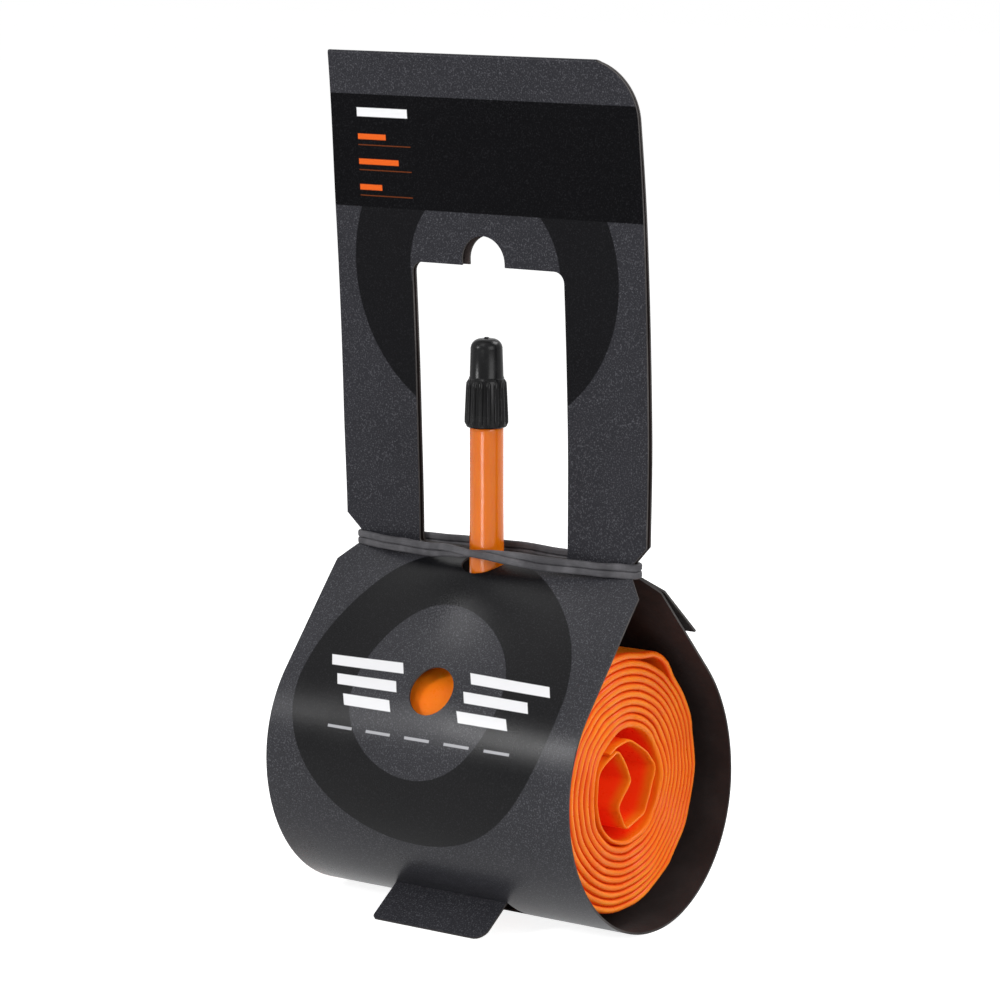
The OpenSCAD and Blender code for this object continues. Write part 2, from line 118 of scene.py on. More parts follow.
# small helpers for node trees, shader and geometry alike
def put(tree, kind, inputs=None, **settings):
    node = tree.nodes.new(kind)
    for name, value in settings.items():
        setattr(node, name, value)
    for socket, value in (inputs or {}).items():
        if isinstance(value, bpy.types.NodeSocket):
            tree.links.new(value, node.inputs[socket])
        else:
            node.inputs[socket].default_value = value
    return node


def putOut(tree, kind, inputs=None, **settings):  # a new node's first output
    return put(tree, kind, inputs, **settings).outputs[0]


def placeGroup(tree, group, inputs):
    return put(tree, "ShaderNodeGroup", inputs, node_tree=group).outputs


def calc(tree, operation, *values, clamp=False):
    return putOut(tree, "ShaderNodeMath", dict(enumerate(values)), operation=operation, use_clamp=clamp)


def vectorCalc(tree, operation, *values):
    return putOut(tree, "ShaderNodeVectorMath", dict(enumerate(values)), operation=operation)


def lengthOf(tree, vector):
    return put(tree, "ShaderNodeVectorMath", {0: vector}, operation="LENGTH").outputs["Value"]


def partsOf(tree, vector):
    return put(tree, "ShaderNodeSeparateXYZ", {0: vector}).outputs


def ramp(tree, value, low, high, toLow=0.0, toHigh=1.0):
    spans = {"Value": value, "From Min": low, "From Max": high, "To Min": toLow, "To Max": toHigh}
    return putOut(tree, "ShaderNodeMapRange", spans, interpolation_type="SMOOTHSTEP")


def mixColour(tree, factor, first, second):
    return put(tree, "ShaderNodeMix", {0: factor, 6: first, 7: second}, data_type="RGBA").outputs[2]


def noise(tree, vector, scale, detail, roughness):
    given = {"Vector": vector, "Scale": scale, "Detail": detail, "Roughness": roughness}
    return putOut(tree, "ShaderNodeTexNoise", given)


def tone(red, green, blue):  # colour on the 0 to 255 scale of a picture, made linear
    linear = [((c / 255 + 0.055) / 1.055) ** 2.4 if c > 10 else c / 255 / 12.92 for c in (red, green, blue)]
    return (*linear, 1.0)


def newTree(name, kind, inputs, outputs):  # an input has a start value, or else the kind of its socket
    tree = bpy.data.node_groups.new(name, kind)
    for label, value in inputs.items():
        plain = {float: "Float", int: "Int"}.get(type(value))
        socket = tree.interface.new_socket(label, in_out="INPUT", socket_type="NodeSocket" + (plain or value))
        if plain:
            socket.default_value = value
    for label, value in outputs.items():
        tree.interface.new_socket(label, in_out="OUTPUT", socket_type="NodeSocket" + value)
    return tree, tree.nodes.new("NodeGroupInput").outputs, tree.nodes.new("NodeGroupOutput").inputs


# paper and plastic grain: bright flecks, a fine height and a broad cloud
grainSet = {
    "speck": (3.0, 0.65),  # detail and roughness of each noise
    "cloud": (4.0, 0.55),
    "fleckEdge": 0.75,  # flecks start at this height, lower with a larger share
    "fleckReach": 0.3,
    "fleckSoft": 0.14,
}


def makeGrainGroup():
    group, given, out = newTree(
        "fineGrain", "ShaderNodeTree",
        {"Vector": "Vector", "Fleck Scale": 2000.0, "Fleck Share": 0.5, "Cloud Scale": 60.0},
        {"Fleck": "Float", "Height": "Float", "Cloud": "Float"})
    speck = noise(group, given["Vector"], given["Fleck Scale"], *grainSet["speck"])
    lower = calc(group, "MULTIPLY", given["Fleck Share"], grainSet["fleckReach"])
    edge = calc(group, "SUBTRACT", grainSet["fleckEdge"], lower)
    full = calc(group, "ADD", edge, grainSet["fleckSoft"])
    fleck = putOut(group, "ShaderNodeMapRange", {"Value": speck, "From Min": edge, "From Max": full})
    group.links.new(fleck, out["Fleck"])
    group.links.new(speck, out["Height"])
    group.links.new(noise(group, given["Vector"], given["Cloud Scale"], *grainSet["cloud"]), out["Cloud"])
    return group


# printed rings and bars with slanted ends, as masks on flat coordinates in millimetres
printEdge = {"ring": 0.12, "bar": 0.08}


def over(tree, value, limit, soft):
    return ramp(tree, calc(tree, "SUBTRACT", value, limit), -soft, soft)


def makeRingGroup():
    inputs = {"Flat": "Vector", "Centre": "Vector", "Inner": 16.0, "Outer": 28.0}
    group, given, out = newTree("printedRing", "ShaderNodeTree", inputs, {"Mask": "Float"})
    far = lengthOf(group, vectorCalc(group, "SUBTRACT", given["Flat"], given["Centre"]))
    inside = over(group, far, given["Inner"], printEdge["ring"])
    outside = over(group, given["Outer"], far, printEdge["ring"])
    group.links.new(calc(group, "MULTIPLY", inside, outside), out["Mask"])
    return group


def makeBarGroup():
    inputs = {"Flat": "Vector", "Centre": "Vector", "Length": 10.0, "Height": 2.0, "Slant": 0.0}
    group, given, out = newTree("printedBar", "ShaderNodeTree", inputs, {"Mask": "Float"})
    away = partsOf(group, vectorCalc(group, "SUBTRACT", given["Flat"], given["Centre"]))
    leaning = calc(group, "MULTIPLY", away[1], given["Slant"])
    along = calc(group, "ABSOLUTE", calc(group, "SUBTRACT", away[0], leaning))
    aside = calc(group, "ABSOLUTE", away[1])
    inLength = over(group, calc(group, "DIVIDE", given["Length"], 2.0), along, printEdge["bar"])
    inHeight = over(group, calc(group, "DIVIDE", given["Height"], 2.0), aside, printEdge["bar"])
    group.links.new(calc(group, "MULTIPLY", inLength, inHeight), out["Mask"])
    return group


grainGroup = makeGrainGroup()
ringGroup = makeRingGroup()
barGroup = makeBarGroup()


# every finish: two tones clouded into each other, grain in its roughness and height, and its own paint
def grainMaterial(name, look, paint=None):
    material = bpy.data.materials.new(name)
    material.use_nodes = True
    tree = material.node_tree
    shader = tree.nodes["Principled BSDF"]
    for socket, value in look["plain"].items():
        shader.inputs[socket].default_value = value
    place = tree.nodes.new("ShaderNodeTexCoord").outputs["Object"]
    spread = dict(zip(("Fleck Scale", "Fleck Share", "Cloud Scale"), look["grain"]))
    grain = placeGroup(tree, grainGroup, {"Vector": place, **spread})
    colour = mixColour(tree, ramp(tree, grain["Cloud"], *look["cloudAt"]), *look["tones"])
    if paint:
        colour = paint(tree, shader, place, grain, colour)
    rough = ramp(tree, grain[look["roughBy"]], *look["roughAt"], *look["rough"])
    if "roughGrain" in look:
        rough = calc(tree, "ADD", rough, calc(tree, "MULTIPLY", grain["Height"], look["roughGrain"]))
    strength, depth = look["bump"]
    relief = {"Height": grain["Height"], "Strength": strength, "Distance": depth * mm}
    raised = putOut(tree, "ShaderNodeBump", relief)
    for socket, value in (("Base Color", colour), ("Roughness", rough), ("Normal", raised)):
        tree.links.new(value, shader.inputs[socket])
    return material


flatSpan = 200.0  # millimetres of flat card across the whole UV square


def flatCoordinates(tree):
    uv = putOut(tree, "ShaderNodeUVMap", None, uv_map="flatCard")
    shifted = vectorCalc(tree, "SUBTRACT", uv, (0.5, 0.0, 0.0))
    return vectorCalc(tree, "MULTIPLY", shifted, (flatSpan, flatSpan, 0.0))


# printed card: charcoal ground, darker rings and bands, pale or orange bars, all flecked
charcoal = tone(44, 44, 48)
inks = {
    "dark": tone(6, 6, 8),
    "faint": tone(17, 17, 19),
    "white": tone(222, 222, 224),
    "pale": tone(164, 164, 168),
    "orange": tone(213, 92, 33),
    "hairline": tone(105, 51, 24),
}
cardLook = {
    "tones": ((*(0.88 * c for c in charcoal[:3]), 1.0), charcoal),
    "cloudAt": (0.3, 0.7),
    "grain": (3600.0, 0.75, 45.0),  # fleck scale, fleck share, cloud scale
    "fleck": tone(121, 121, 127),
    "fleckShow": 0.3,
    "fleckCover": 0.86,  # share of the flecks that dark ink hides
    "roughBy": "Cloud",
    "roughAt": (0.3, 0.7),
    "rough": (0.22, 0.31),
    "roughGrain": 0.1,
    "bump": (0.35, 0.06),  # strength, depth
}
cardGloss = {"header": 0.03, "sleeve": 0.13}


def cardMaterial(name, gloss, darkPrints=(), brightPrints=()):
    def paint(tree, shader, place, grain, colour):
        flat = flatCoordinates(tree)
        dark, show = 0.0, cardLook["fleckShow"]

        def maskOf(group, centre, sizes):
            return placeGroup(tree, group, {"Flat": flat, "Centre": (*centre, 0.0), **sizes})["Mask"]
        for ink, *figure in darkPrints:
            mask = maskOf(*figure)
            colour = mixColour(tree, mask, colour, inks[ink])
            dark = calc(tree, "MAXIMUM", dark, mask)
        hidden = calc(tree, "MULTIPLY", dark, cardLook["fleckCover"] * show)
        shine = calc(tree, "MULTIPLY", grain["Fleck"], calc(tree, "SUBTRACT", show, hidden))
        colour = mixColour(tree, shine, colour, cardLook["fleck"])
        for ink, *figure in brightPrints:
            colour = mixColour(tree, maskOf(*figure), colour, inks[ink])
        return colour
    return grainMaterial(name, {**cardLook, "plain": {"Specular IOR Level": gloss}}, paint)


# bare board, inside the sleeve and on cut edges
boardLook = {
    "plain": {"Specular IOR Level": 0.1},
    "cloudAt": (0.3, 0.7),
    "grain": (1400.0, 0.6, 70.0),
    "fleckShow": 0.3,
    "roughBy": "Height",
    "roughAt": (0.2, 0.8),
    "bump": (0.4, 0.08),
}


def boardMaterial(name, dark, pale, rough):
    def paint(tree, shader, place, grain, colour):
        return mixColour(tree, calc(tree, "MULTIPLY", grain["Fleck"], boardLook["fleckShow"]), colour, pale)
    return grainMaterial(name, {**boardLook, "tones": (dark, pale), "rough": rough}, paint)


# a path in the (y, z) plane made of straight runs and even bends: (length, turn in degrees)
class FoldPath:
    def __init__(self, start, heading, runs):
        self.knots = [0.0]
        self.points = [np.array(start, float)]
        self.headings = [math.radians(heading)]
        self.curves = []
        for length, turn in runs:
            self.add(length, turn)

    def add(self, length, turn):
        self.curves.append(math.radians(turn) / length)
        end, heading = self.at(self.knots[-1] + length)
        self.knots.append(self.knots[-1] + length)
        self.points.append(end[0])
        self.headings.append(heading[0])

    def at(self, along):
        along = np.atleast_1d(np.asarray(along, float))
        index = np.clip(np.searchsorted(self.knots, along, side="right") - 1, 0, len(self.curves) - 1)
        start = np.array(self.points)[index]
        heading = np.array(self.headings)[index]
        curve = np.array(self.curves)[index]
        gone = along - np.array(self.knots)[index]
        straight = np.abs(curve) < 1e-9
        safe = np.where(straight, 1.0, curve)
        now = heading + curve * gone
        y = np.where(straight, np.cos(heading) * gone, (np.sin(now) - np.sin(heading)) / safe)
        z = np.where(straight, np.sin(heading) * gone, (np.cos(heading) - np.cos(now)) / safe)
        return start + np.stack([y, z], 1), now


def rowsAlong(path, runStep, bendStep):  # where the sheet gets a row of points
    rows = []
    for a, b, curve in zip(path.knots, path.knots[1:], path.curves):
        length = b - a
        count = max(1, math.ceil(length / runStep), math.ceil(abs(math.degrees(curve * length)) / bendStep))
        rows += list(a + length * np.arange(count) / count)
    return np.array(rows + [path.knots[-1]])


def arcPoints(centre, radius, start, end, count):
    turn = np.radians(np.linspace(start, end, count))
    return np.stack([centre[0] + radius * np.cos(turn), centre[1] + radius * np.sin(turn)], 1)


def withinLoops(points, loops):
    inside = np.zeros(len(points), bool)
    for loop in loops:
        for a, b in zip(loop, np.roll(loop, -1, 0)):
            if a[1] == b[1]:
                continue
            spans = (points[:, 1] < a[1]) != (points[:, 1] < b[1])
            cross = a[0] + (points[:, 1] - a[1]) * (b[0] - a[0]) / (b[1] - a[1])
            inside ^= spans & (points[:, 0] < cross)
    return inside


def cutLoop(loop, rows, columns, least):  # points on an outline, also where a row or column meets it
    cut = []
    for a, b in zip(loop, np.roll(loop, -1, 0)):
        run = b - a
        lines, axis = (columns, 0) if abs(run[0]) > abs(run[1]) else (rows, 1)
        low, high = min(a[axis], b[axis]), max(a[axis], b[axis])
        length = np.linalg.norm(run)
        kept = [0.0]
        for u in sorted((v - a[axis]) / run[axis] for v in lines if low < v < high):
            if (u - kept[-1]) * length > least and (1 - u) * length > least:
                kept.append(u)
        cut += [a + run * u for u in kept]
    return np.array(cut)


# edges sharper than these angles stay crisp
sharpFrom = {"card": 50.0, "grown": 40.0, "turned": 38.0}


def smooth(mesh, kind):
    mesh.shade_smooth()
    mesh.set_sharp_from_angle(angle=math.radians(sharpFrom[kind]))


# a sheet of card: flat outline and holes, laid on a surface, with two skins and cut edges
sheetSet = {
    "step": 1.5,
    "edgeLeast": 0.06,  # points on an outline lie at least this far apart
    "edgeRoom": 0.4,  # inner points keep off the edges by these shares of the steps
    "rowRoom": 0.7,
    "chunk": 200,
    "probe": 0.01,  # half the span over which a surface's slope is taken
    "weld": 1e-6,
}


def makeCard(name, loops, rows, surface, outward, thick, ink):
    step, delta, chunk = sheetSet["step"], sheetSet["probe"], sheetSet["chunk"]
    outline = np.array(loops[0], float)
    low, high = outline.min(0), outline.max(0)
    columns = np.linspace(low[0], high[0], math.ceil((high[0] - low[0]) / step) + 1)
    outlines = [cutLoop(np.array(loop, float), rows, columns, sheetSet["edgeLeast"]) for loop in loops]
    edge = np.concatenate(outlines)
    grid = np.array([(x, s) for s in rows for x in columns])
    grid = grid[withinLoops(grid, outlines)]
    gap = np.full(len(grid), np.inf)
    for start in range(0, len(edge), chunk):
        apart = grid[:, None, :] - edge[None, start:start + chunk, :]
        gap = np.minimum(gap, np.hypot(apart[:, :, 0], apart[:, :, 1]).min(1))
    rowGap = np.minimum(sheetSet["edgeRoom"] * step, sheetSet["rowRoom"] * np.gradient(rows))
    grid = grid[gap > np.interp(grid[:, 1], rows, rowGap)]
    points = np.concatenate([edge, grid])
    rims, first = [], 0
    for outline in outlines:
        count = len(outline)
        rims += [(first + i, first + (i + 1) % count) for i in range(count)]
        first += count
    flat, _, faces, *_ = delaunay_2d_cdt([Vector(p) for p in points], rims, [], 0, sheetSet["weld"])
    flat = np.array([tuple(p) for p in flat])
    faces = np.array(faces)
    faces = faces[withinLoops(flat[faces].mean(1), outlines)]
    edgeA, edgeB = flat[faces[:, 1]] - flat[faces[:, 0]], flat[faces[:, 2]] - flat[faces[:, 0]]
    turned = edgeA[:, 0] * edgeB[:, 1] - edgeA[:, 1] * edgeB[:, 0] < 0
    faces[turned] = faces[turned][:, ::-1]
    x, s = flat[:, 0], flat[:, 1]
    middle = surface(x, s)
    acrossX = surface(x + delta, s) - surface(x - delta, s)
    alongS = surface(x, s + delta) - surface(x, s - delta)
    normal = np.cross(acrossX, alongS) * outward
    normal /= np.linalg.norm(normal, axis=1)[:, None]
    count = len(flat)
    verts = np.concatenate([middle + normal * thick / 2, middle - normal * thick / 2]) * mm
    front = faces if outward > 0 else faces[:, ::-1]
    sides = {(a, b) for face in front for a, b in zip(face, np.roll(face, -1))}
    walls = [(a, a + count, b + count, b) for a, b in sides if (b, a) not in sides]
    polygons = [tuple(f) for f in front] + [tuple(f[::-1] + count) for f in front] + sorted(walls)
    mesh = bpy.data.meshes.new(name)
    mesh.from_pydata(verts.tolist(), [], [[int(i) for i in p] for p in polygons])
    for material in (ink, insideBoard, cutBoard):
        mesh.materials.append(material)
    kinds = np.repeat([0, 1, 2], [len(front), len(front), len(walls)])
    mesh.polygons.foreach_set("material_index", kinds.astype(np.int32))
    uv = mesh.uv_layers.new(name="flatCard")
    corner = np.zeros(len(mesh.loops), np.int32)
    mesh.loops.foreach_get("vertex_index", corner)
    spread = np.tile(flat / flatSpan + (0.5, 0.0), (2, 1))[corner]
    uv.data.foreach_set("uv", spread.astype(np.float32).ravel())
    smooth(mesh, "card")
    mesh.validate()
    return newObject(name, mesh)


# the folded card
cardSet = {
    "thick": 0.4,
    "plyGap": 0.17,
    "frontSlope": 49.3,
    "frontR": 24.0,
    "bellyR": 27.1,
    "heelR": 24.0,
    "backR": 30.0,
    "backSlope": 47.0,
    "tuck": 0.6,
    "skirt": 18.0,
    "skirtSlope": 41.0,
    "creaseLen": 0.5,
    "headerLen": 89.0,
    "headerBow": 800.0,
    "foldGap": 0.12,
    "headHalf": (33.2, 32.95),  # left, right
    "headLow": 32.6,  # right, at the neck
    "cornerR": 10.3,
    "neckHalf": 30.0,
    "bandRise": 1.8,
    "neckUp": 1.9,  # heights of the notch above the crease
    "neckEdge": 4.8,
    "panelNeck": 0.8,  # its ways below the crease
    "panelEdge": 4.75,
    "window": (-16.7, 16.0),
    "windowFoot": 0.9,
    "windowTop": 52.1,
    "windowR": 2.0,
    "windowFootR": 0.7,
    "hangR": 4.6,
    "hangX": -1.1,
    "hangH": 5.4,
    "hangSlip": 1.0,
    "twist": 0.6,  # halfway up, the header's right edge stands back and its left edge forward
    "twistLen": 25.0,
    "twistFade": (60.0, 29.0),
    "peepR": 4.5,
    "peepX": 0.25,
    "peepDown": 0.4,
    "valveHole": (0.5, 2.1, 4.3),  # x, way below the crease, radius
    "valveLip": 0.35,
    "bulge": 4.5,  # the valve pushes the front panel out under the neck
    "bulgeAt": 8.0,
    "bulgePower": 1.4,
    "bulgeHalf": 18.0,
    "footHalf": 12.25,
    "footLen": 9.1,
    "footR": (0.9, 2.4),
    "footRoot": 0.15,
    "footTurn": 54.0,
    "footKerf": 0.3,
    "creaseGap": 0.12,
    "rows": {"header": (2.5, 5.0), "rear": (2.5, 18.0), "sleeve": (1.5, 3.0), "foot": (1.2, 5.0)},
}
cs = cardSet
halfCard = cs["thick"] / 2
frontLow, frontHigh = boxOf("header_front")
cardHalf = frontHigh.x
crease = np.array([frontHigh.y - halfCard, frontLow.z - halfCard])
plyStep = cs["thick"] + cs["plyGap"]
bandZ = crease[1] + cs["bandRise"]
slope = math.radians(cs["frontSlope"])
frontLen = (crease[1] - halfCard - cs["frontR"] * math.cos(slope) - cs["bellyR"]) / math.sin(slope)


def sleevePath():
    path = FoldPath(crease, 180 + cs["frontSlope"], [(frontLen, 0.0)])
    for radius, turn in ((cs["frontR"], 90 - cs["frontSlope"]), (cs["bellyR"], 90.0), (cs["heelR"], 90.0),
                         (cs["backR"], 90 - cs["backSlope"])):
        path.add(radius * math.radians(turn), turn)
    rest = path.points[-1][0] - crease[0] - plyStep
    path.add(rest / math.cos(math.radians(cs["backSlope"])), 0.0)
    path.add(cs["creaseLen"], cs["backSlope"] - 90)
    path.add(cs["tuck"], 0.0)
    return path


def headerPath():
    turn = math.degrees(cs["headerLen"] / cs["headerBow"])
    return FoldPath(crease, 90.0, [(cs["headerLen"], turn)])


def rearPath(front):
    foldStep = cs["thick"] + cs["foldGap"]
    rearBow = 1 / (1 / cs["headerBow"] + 2 * (2 * plyStep - foldStep) / cs["headerLen"] ** 2)
    rearTurn = math.degrees(cs["headerLen"] / rearBow)
    heading = math.degrees(front.headings[-1])
    foldTurn = heading + 90 - rearTurn
    path = FoldPath(front.points[-1], heading, [(foldStep / 2 * math.radians(foldTurn), -foldTurn)])
    path.add(cs["headerLen"], -rearTurn)
    path.add(cs["creaseLen"], 90 - cs["skirtSlope"])
    path.add(cs["skirt"], 0.0)
    return path


sleeveWay, headerWay = sleevePath(), headerPath()
rearWay = rearPath(headerWay)
print("rear crease at", rearWay.points[2].round(2), "sleeve end at", sleeveWay.points[-1].round(2))


def softStep(u):
    u = np.clip(u, 0, 1)
    return u * u * (3 - 2 * u)


def flatSurface(path):
    def place(x, s):
        at, _ = path.at(s)
        return np.stack([x, at[:, 0], at[:, 1]], 1)
    return place


def headerSurface(path):
    plain = flatSurface(path)
    fadeFrom, fadeLen = cs["twistFade"]

    def place(x, s):
        points = plain(x, s)
        height = points[:, 2] - crease[1]
        share = softStep(height / cs["twistLen"]) * (1 - softStep((height - fadeFrom) / fadeLen))
        points[:, 1] += cs["twist"] * x / cardHalf * share
        return points
    return place


def sleeveSurface(x, s):
    at, heading = sleeveWay.at(s)
    near = np.clip(s, 0.0, None) / cs["bulgeAt"]
    swell = cs["bulge"] * (near * np.exp(1 - near)) ** cs["bulgePower"] * np.exp(-(x / cs["bulgeHalf"]) ** 2)
    return np.stack([x, at[:, 0] + swell * np.sin(heading), at[:, 1] - swell * np.cos(heading)], 1)


# outlines are (x, way along the path); heights above the crease become ways along each ply
def frontLevel(height):
    return height


def rearLevel(height):
    return rearWay.knots[2] - height


def windowLoop(level, slip):
    (left, right), low, high = cs["window"], cs["windowFoot"], cs["windowTop"]
    r, footR, hangR, hangX = cs["windowR"], cs["windowFootR"], cs["hangR"], cs["hangX"] + slip
    loop = np.concatenate([
        arcPoints((right - footR, low + footR), footR, -90, 0, 5),
        arcPoints((right - r, high - r), r, 0, 90, 7),
        [(hangX + hangR, high)],
        arcPoints((hangX, high + cs["hangH"] - hangR), hangR, 0, 180, 25),
        [(hangX - hangR, high)],
        arcPoints((left + r, high - r), r, 90, 180, 7),
        arcPoints((left + footR, low + footR), footR, 180, 270, 5)])
    return [(x, level(height)) for x, height in loop]


headLeft, headRight = cs["headHalf"]
foldR = (cs["thick"] + cs["foldGap"]) / 2
plyTop = headerWay.knots[-1]
cornerLow = plyTop + foldR + halfCard - cs["cornerR"]
cornerHeights = cornerLow + cs["cornerR"] * np.sin(np.radians(np.linspace(0, 90, 25)))
cornerHeights = cornerHeights[cornerHeights < plyTop - 0.05]  # the rest of the corner lies in the fold


def cornerX(height):  # the header's right edge, which rounds off towards the fold
    rise = max(0.0, height - cornerLow)
    return headRight - cs["cornerR"] + math.sqrt(cs["cornerR"] ** 2 - rise ** 2)


def mirrored(right):
    return right + [(-x, s) for x, s in reversed(right)]


def headerOutline():
    neck = cs["neckHalf"]
    right = [(neck, halfCard / 2), (neck, cs["neckUp"]), (cs["headLow"], cs["neckEdge"])]
    corner = [(cornerX(h), h) for h in (*cornerHeights, plyTop)]
    left = [(-headLeft, plyTop), (-headLeft, cs["neckEdge"]), (-neck, cs["neckUp"]), (-neck, halfCard / 2)]
    return right + corner + left


def rearOutline():
    folded, crook, end, neck = rearWay.knots[1], rearWay.knots[3], rearWay.knots[-1], cs["neckHalf"]
    fold = [(cornerX(plyTop + foldR * math.sin(math.pi * u)), folded * u) for u in np.linspace(0, 1, 9)]
    corner = [(cornerX(h), folded + plyTop - h) for h in reversed(cornerHeights)]
    skirt = mirrored([(neck, rearLevel(cs["neckUp"])), (neck, crook + cs["panelNeck"]),
                      (cardHalf, crook + cs["panelEdge"]), (cardHalf, end)])
    return (fold + corner + [(cs["headLow"], rearLevel(cs["neckEdge"]))] + skirt
            + [(-headLeft, rearLevel(cs["neckEdge"])), (-headLeft, 0.0)])


def sleeveOutline():
    crook, neck = sleeveWay.knots[6], cs["neckHalf"]
    return mirrored([(neck, 0.0), (neck, cs["panelNeck"]), (cardHalf, cs["panelEdge"]),
                     (cardHalf, crook - cs["panelEdge"]), (neck, crook - cs["panelNeck"]),
                     (neck, sleeveWay.knots[-1])])


footAt = sleeveWay.knots[2] + cs["bellyR"] * math.radians(cs["footTurn"])


def tabLoop(half, low, high, more=0.0):
    leftR, rightR = [r + more for r in cs["footR"]]
    return np.concatenate([[(-half, low), (half, low)],
                           arcPoints((half - rightR, high - rightR), rightR, 0, 90, 9),
                           arcPoints((leftR - half, high - leftR), leftR, 90, 180, 9)])


def sleeveHoles():
    peep = arcPoints((cs["peepX"], sleeveWay.knots[1] + cs["peepDown"]), cs["peepR"], 0, 360, 49)[:-1]
    x, s, r = cs["valveHole"]
    lip = math.degrees(math.asin((s - cs["valveLip"]) / r))
    valve = arcPoints((x, s), r, -lip, 180 + lip, 33)
    kerf = cs["footKerf"]
    root = footAt - halfCard - cs["creaseGap"]
    tab = tabLoop(cs["footHalf"] + kerf, root, footAt + cs["footLen"] + kerf, kerf)
    return [peep, valve, tab]


# prints: tone on tone rings, a dark band and plain bars
printSet = {
    "headerRing": ("faint", (-0.9, 51.1), 16.1, 28.3),  # ink, centre, radii
    "headerBand": ("dark", (0.0, 71.6), 80.0, 20.3),  # ink, centre, length, width
    "frontRing": ("dark", (-1.0, 28.7), 15.9, 28.4),
    "barLeft": -27.4,
    "whiteBar": (78.5, 11.2, 1.6),  # height above the crease, length, width
    "orangeBars": ((74.1, 6.2, 1.0), (69.6, 8.8, 1.0), (65.0, 4.9, 1.0)),
    "hairline": (1.5, 11.6, 0.16),  # below each orange bar, length, width
    "stripes": ((25.2, 16.5), (28.8, 13.5), (32.4, 10.5)),  # way below the crease, length
    "stripeFrom": 7.4,
    "stripeWide": 2.0,
    "stripeSlant": 0.5,
    "dashes": (37.4, 5, 5.4, 8.6, 0.5),  # way below the crease, count, length, pitch, width
}


def ringPrint(ink, centre, inner, outer):
    return ink, ringGroup, centre, {"Inner": inner, "Outer": outer}


def barPrint(ink, centre, length, wide, slant=0.0):
    return ink, barGroup, centre, {"Length": length, "Height": wide, "Slant": slant}


def headerBars():
    left = printSet["barLeft"]
    under, hairLen, hairWide = printSet["hairline"]
    height, length, wide = printSet["whiteBar"]
    bars = [barPrint("white", (left + length / 2, height), length, wide)]
    for height, length, wide in printSet["orangeBars"]:
        bars.append(barPrint("orange", (left + length / 2, height), length, wide))
        bars.append(barPrint("hairline", (left + hairLen / 2, height - under), hairLen, hairWide))
    return bars


def frontBars():
    start, wide, slant = printSet["stripeFrom"], printSet["stripeWide"], printSet["stripeSlant"]
    bars = [barPrint("white", (side * (start + length / 2), way), length, wide, slant)
            for way, length in printSet["stripes"] for side in (-1, 1)]
    way, count, length, pitch, wide = printSet["dashes"]
    return bars + [barPrint("pale", ((k - (count - 1) / 2) * pitch, way), length, wide) for k in range(count)]


headerFigures = [ringPrint(*printSet["headerRing"]), barPrint(*printSet["headerBand"])]
headerPrint = cardMaterial("headerPrint", cardGloss["header"], headerFigures, headerBars())
frontFigures = [ringPrint(*printSet["frontRing"])]
sleevePrint = cardMaterial("sleevePrint", cardGloss["sleeve"], frontFigures, frontBars())
plainPrint = cardMaterial("plainPrint", cardGloss["header"])
insideBoard = boardMaterial("insideBoard", tone(37, 31, 30), tone(53, 46, 45), (0.56, 0.7))
cutBoard = boardMaterial("cutBoard", tone(50, 48, 48), tone(78, 75, 74), (0.64, 0.78))


def addCard():
    plies = (
        ("headerFront", "header_front", [headerOutline(), windowLoop(frontLevel, 0.0)],
         rowsAlong(headerWay, *cs["rows"]["header"]), headerSurface(headerWay), 1, headerPrint),
        ("headerBack", "header_back", [rearOutline(), windowLoop(rearLevel, cs["hangSlip"])],
         rowsAlong(rearWay, *cs["rows"]["rear"]), headerSurface(rearWay), 1, plainPrint),
        ("cardSleeve", "sleeve", [sleeveOutline()] + sleeveHoles(),
         rowsAlong(sleeveWay, *cs["rows"]["sleeve"]), sleeveSurface, -1, sleevePrint),
    )
    for name, node, loops, rows, surface, outward, ink in plies:
        attach(makeCard(name, loops, rows, surface, outward, cs["thick"], ink), "pack", node)


def addFoot():
    low, _ = boxOf("foot_tab")
    root = sleeveWay.at(footAt)[0][0]
    tilt = math.degrees(math.atan2(root[1] - halfCard, root[0] - low.y))
    path = FoldPath(root, 180 + tilt, [(cs["footLen"], 0.0)])
    loop = tabLoop(cs["footHalf"], -cs["footRoot"], cs["footLen"])
    rows = rowsAlong(path, *cs["rows"]["foot"])
    foot = makeCard("footTab", [loop], rows, flatSurface(path), -1, cs["thick"], plainPrint)
    attach(foot, "foot", "foot_tab")


addCard()
addFoot()
print("card folded")


def closeTree(tree, out, geometry, material):  # a tree ends in plain faces with one material
    real = putOut(tree, "GeometryNodeRealizeInstances", {"Geometry": geometry})
    done = putOut(tree, "GeometryNodeSetMaterial", {"Geometry": real, "Material": material})
    tree.links.new(done, out["Geometry"])
    return tree


def captured(tree, geometry, label, field):  # keeps a vector of the geometry for later
    node = put(tree, "GeometryNodeCaptureAttribute", {"Geometry": geometry})
    node.capture_items.new("VECTOR", label)
    tree.links.new(tree.nodes.new(field).outputs[0], node.inputs[label])
    return node.outputs["Geometry"], node.outputs[label]


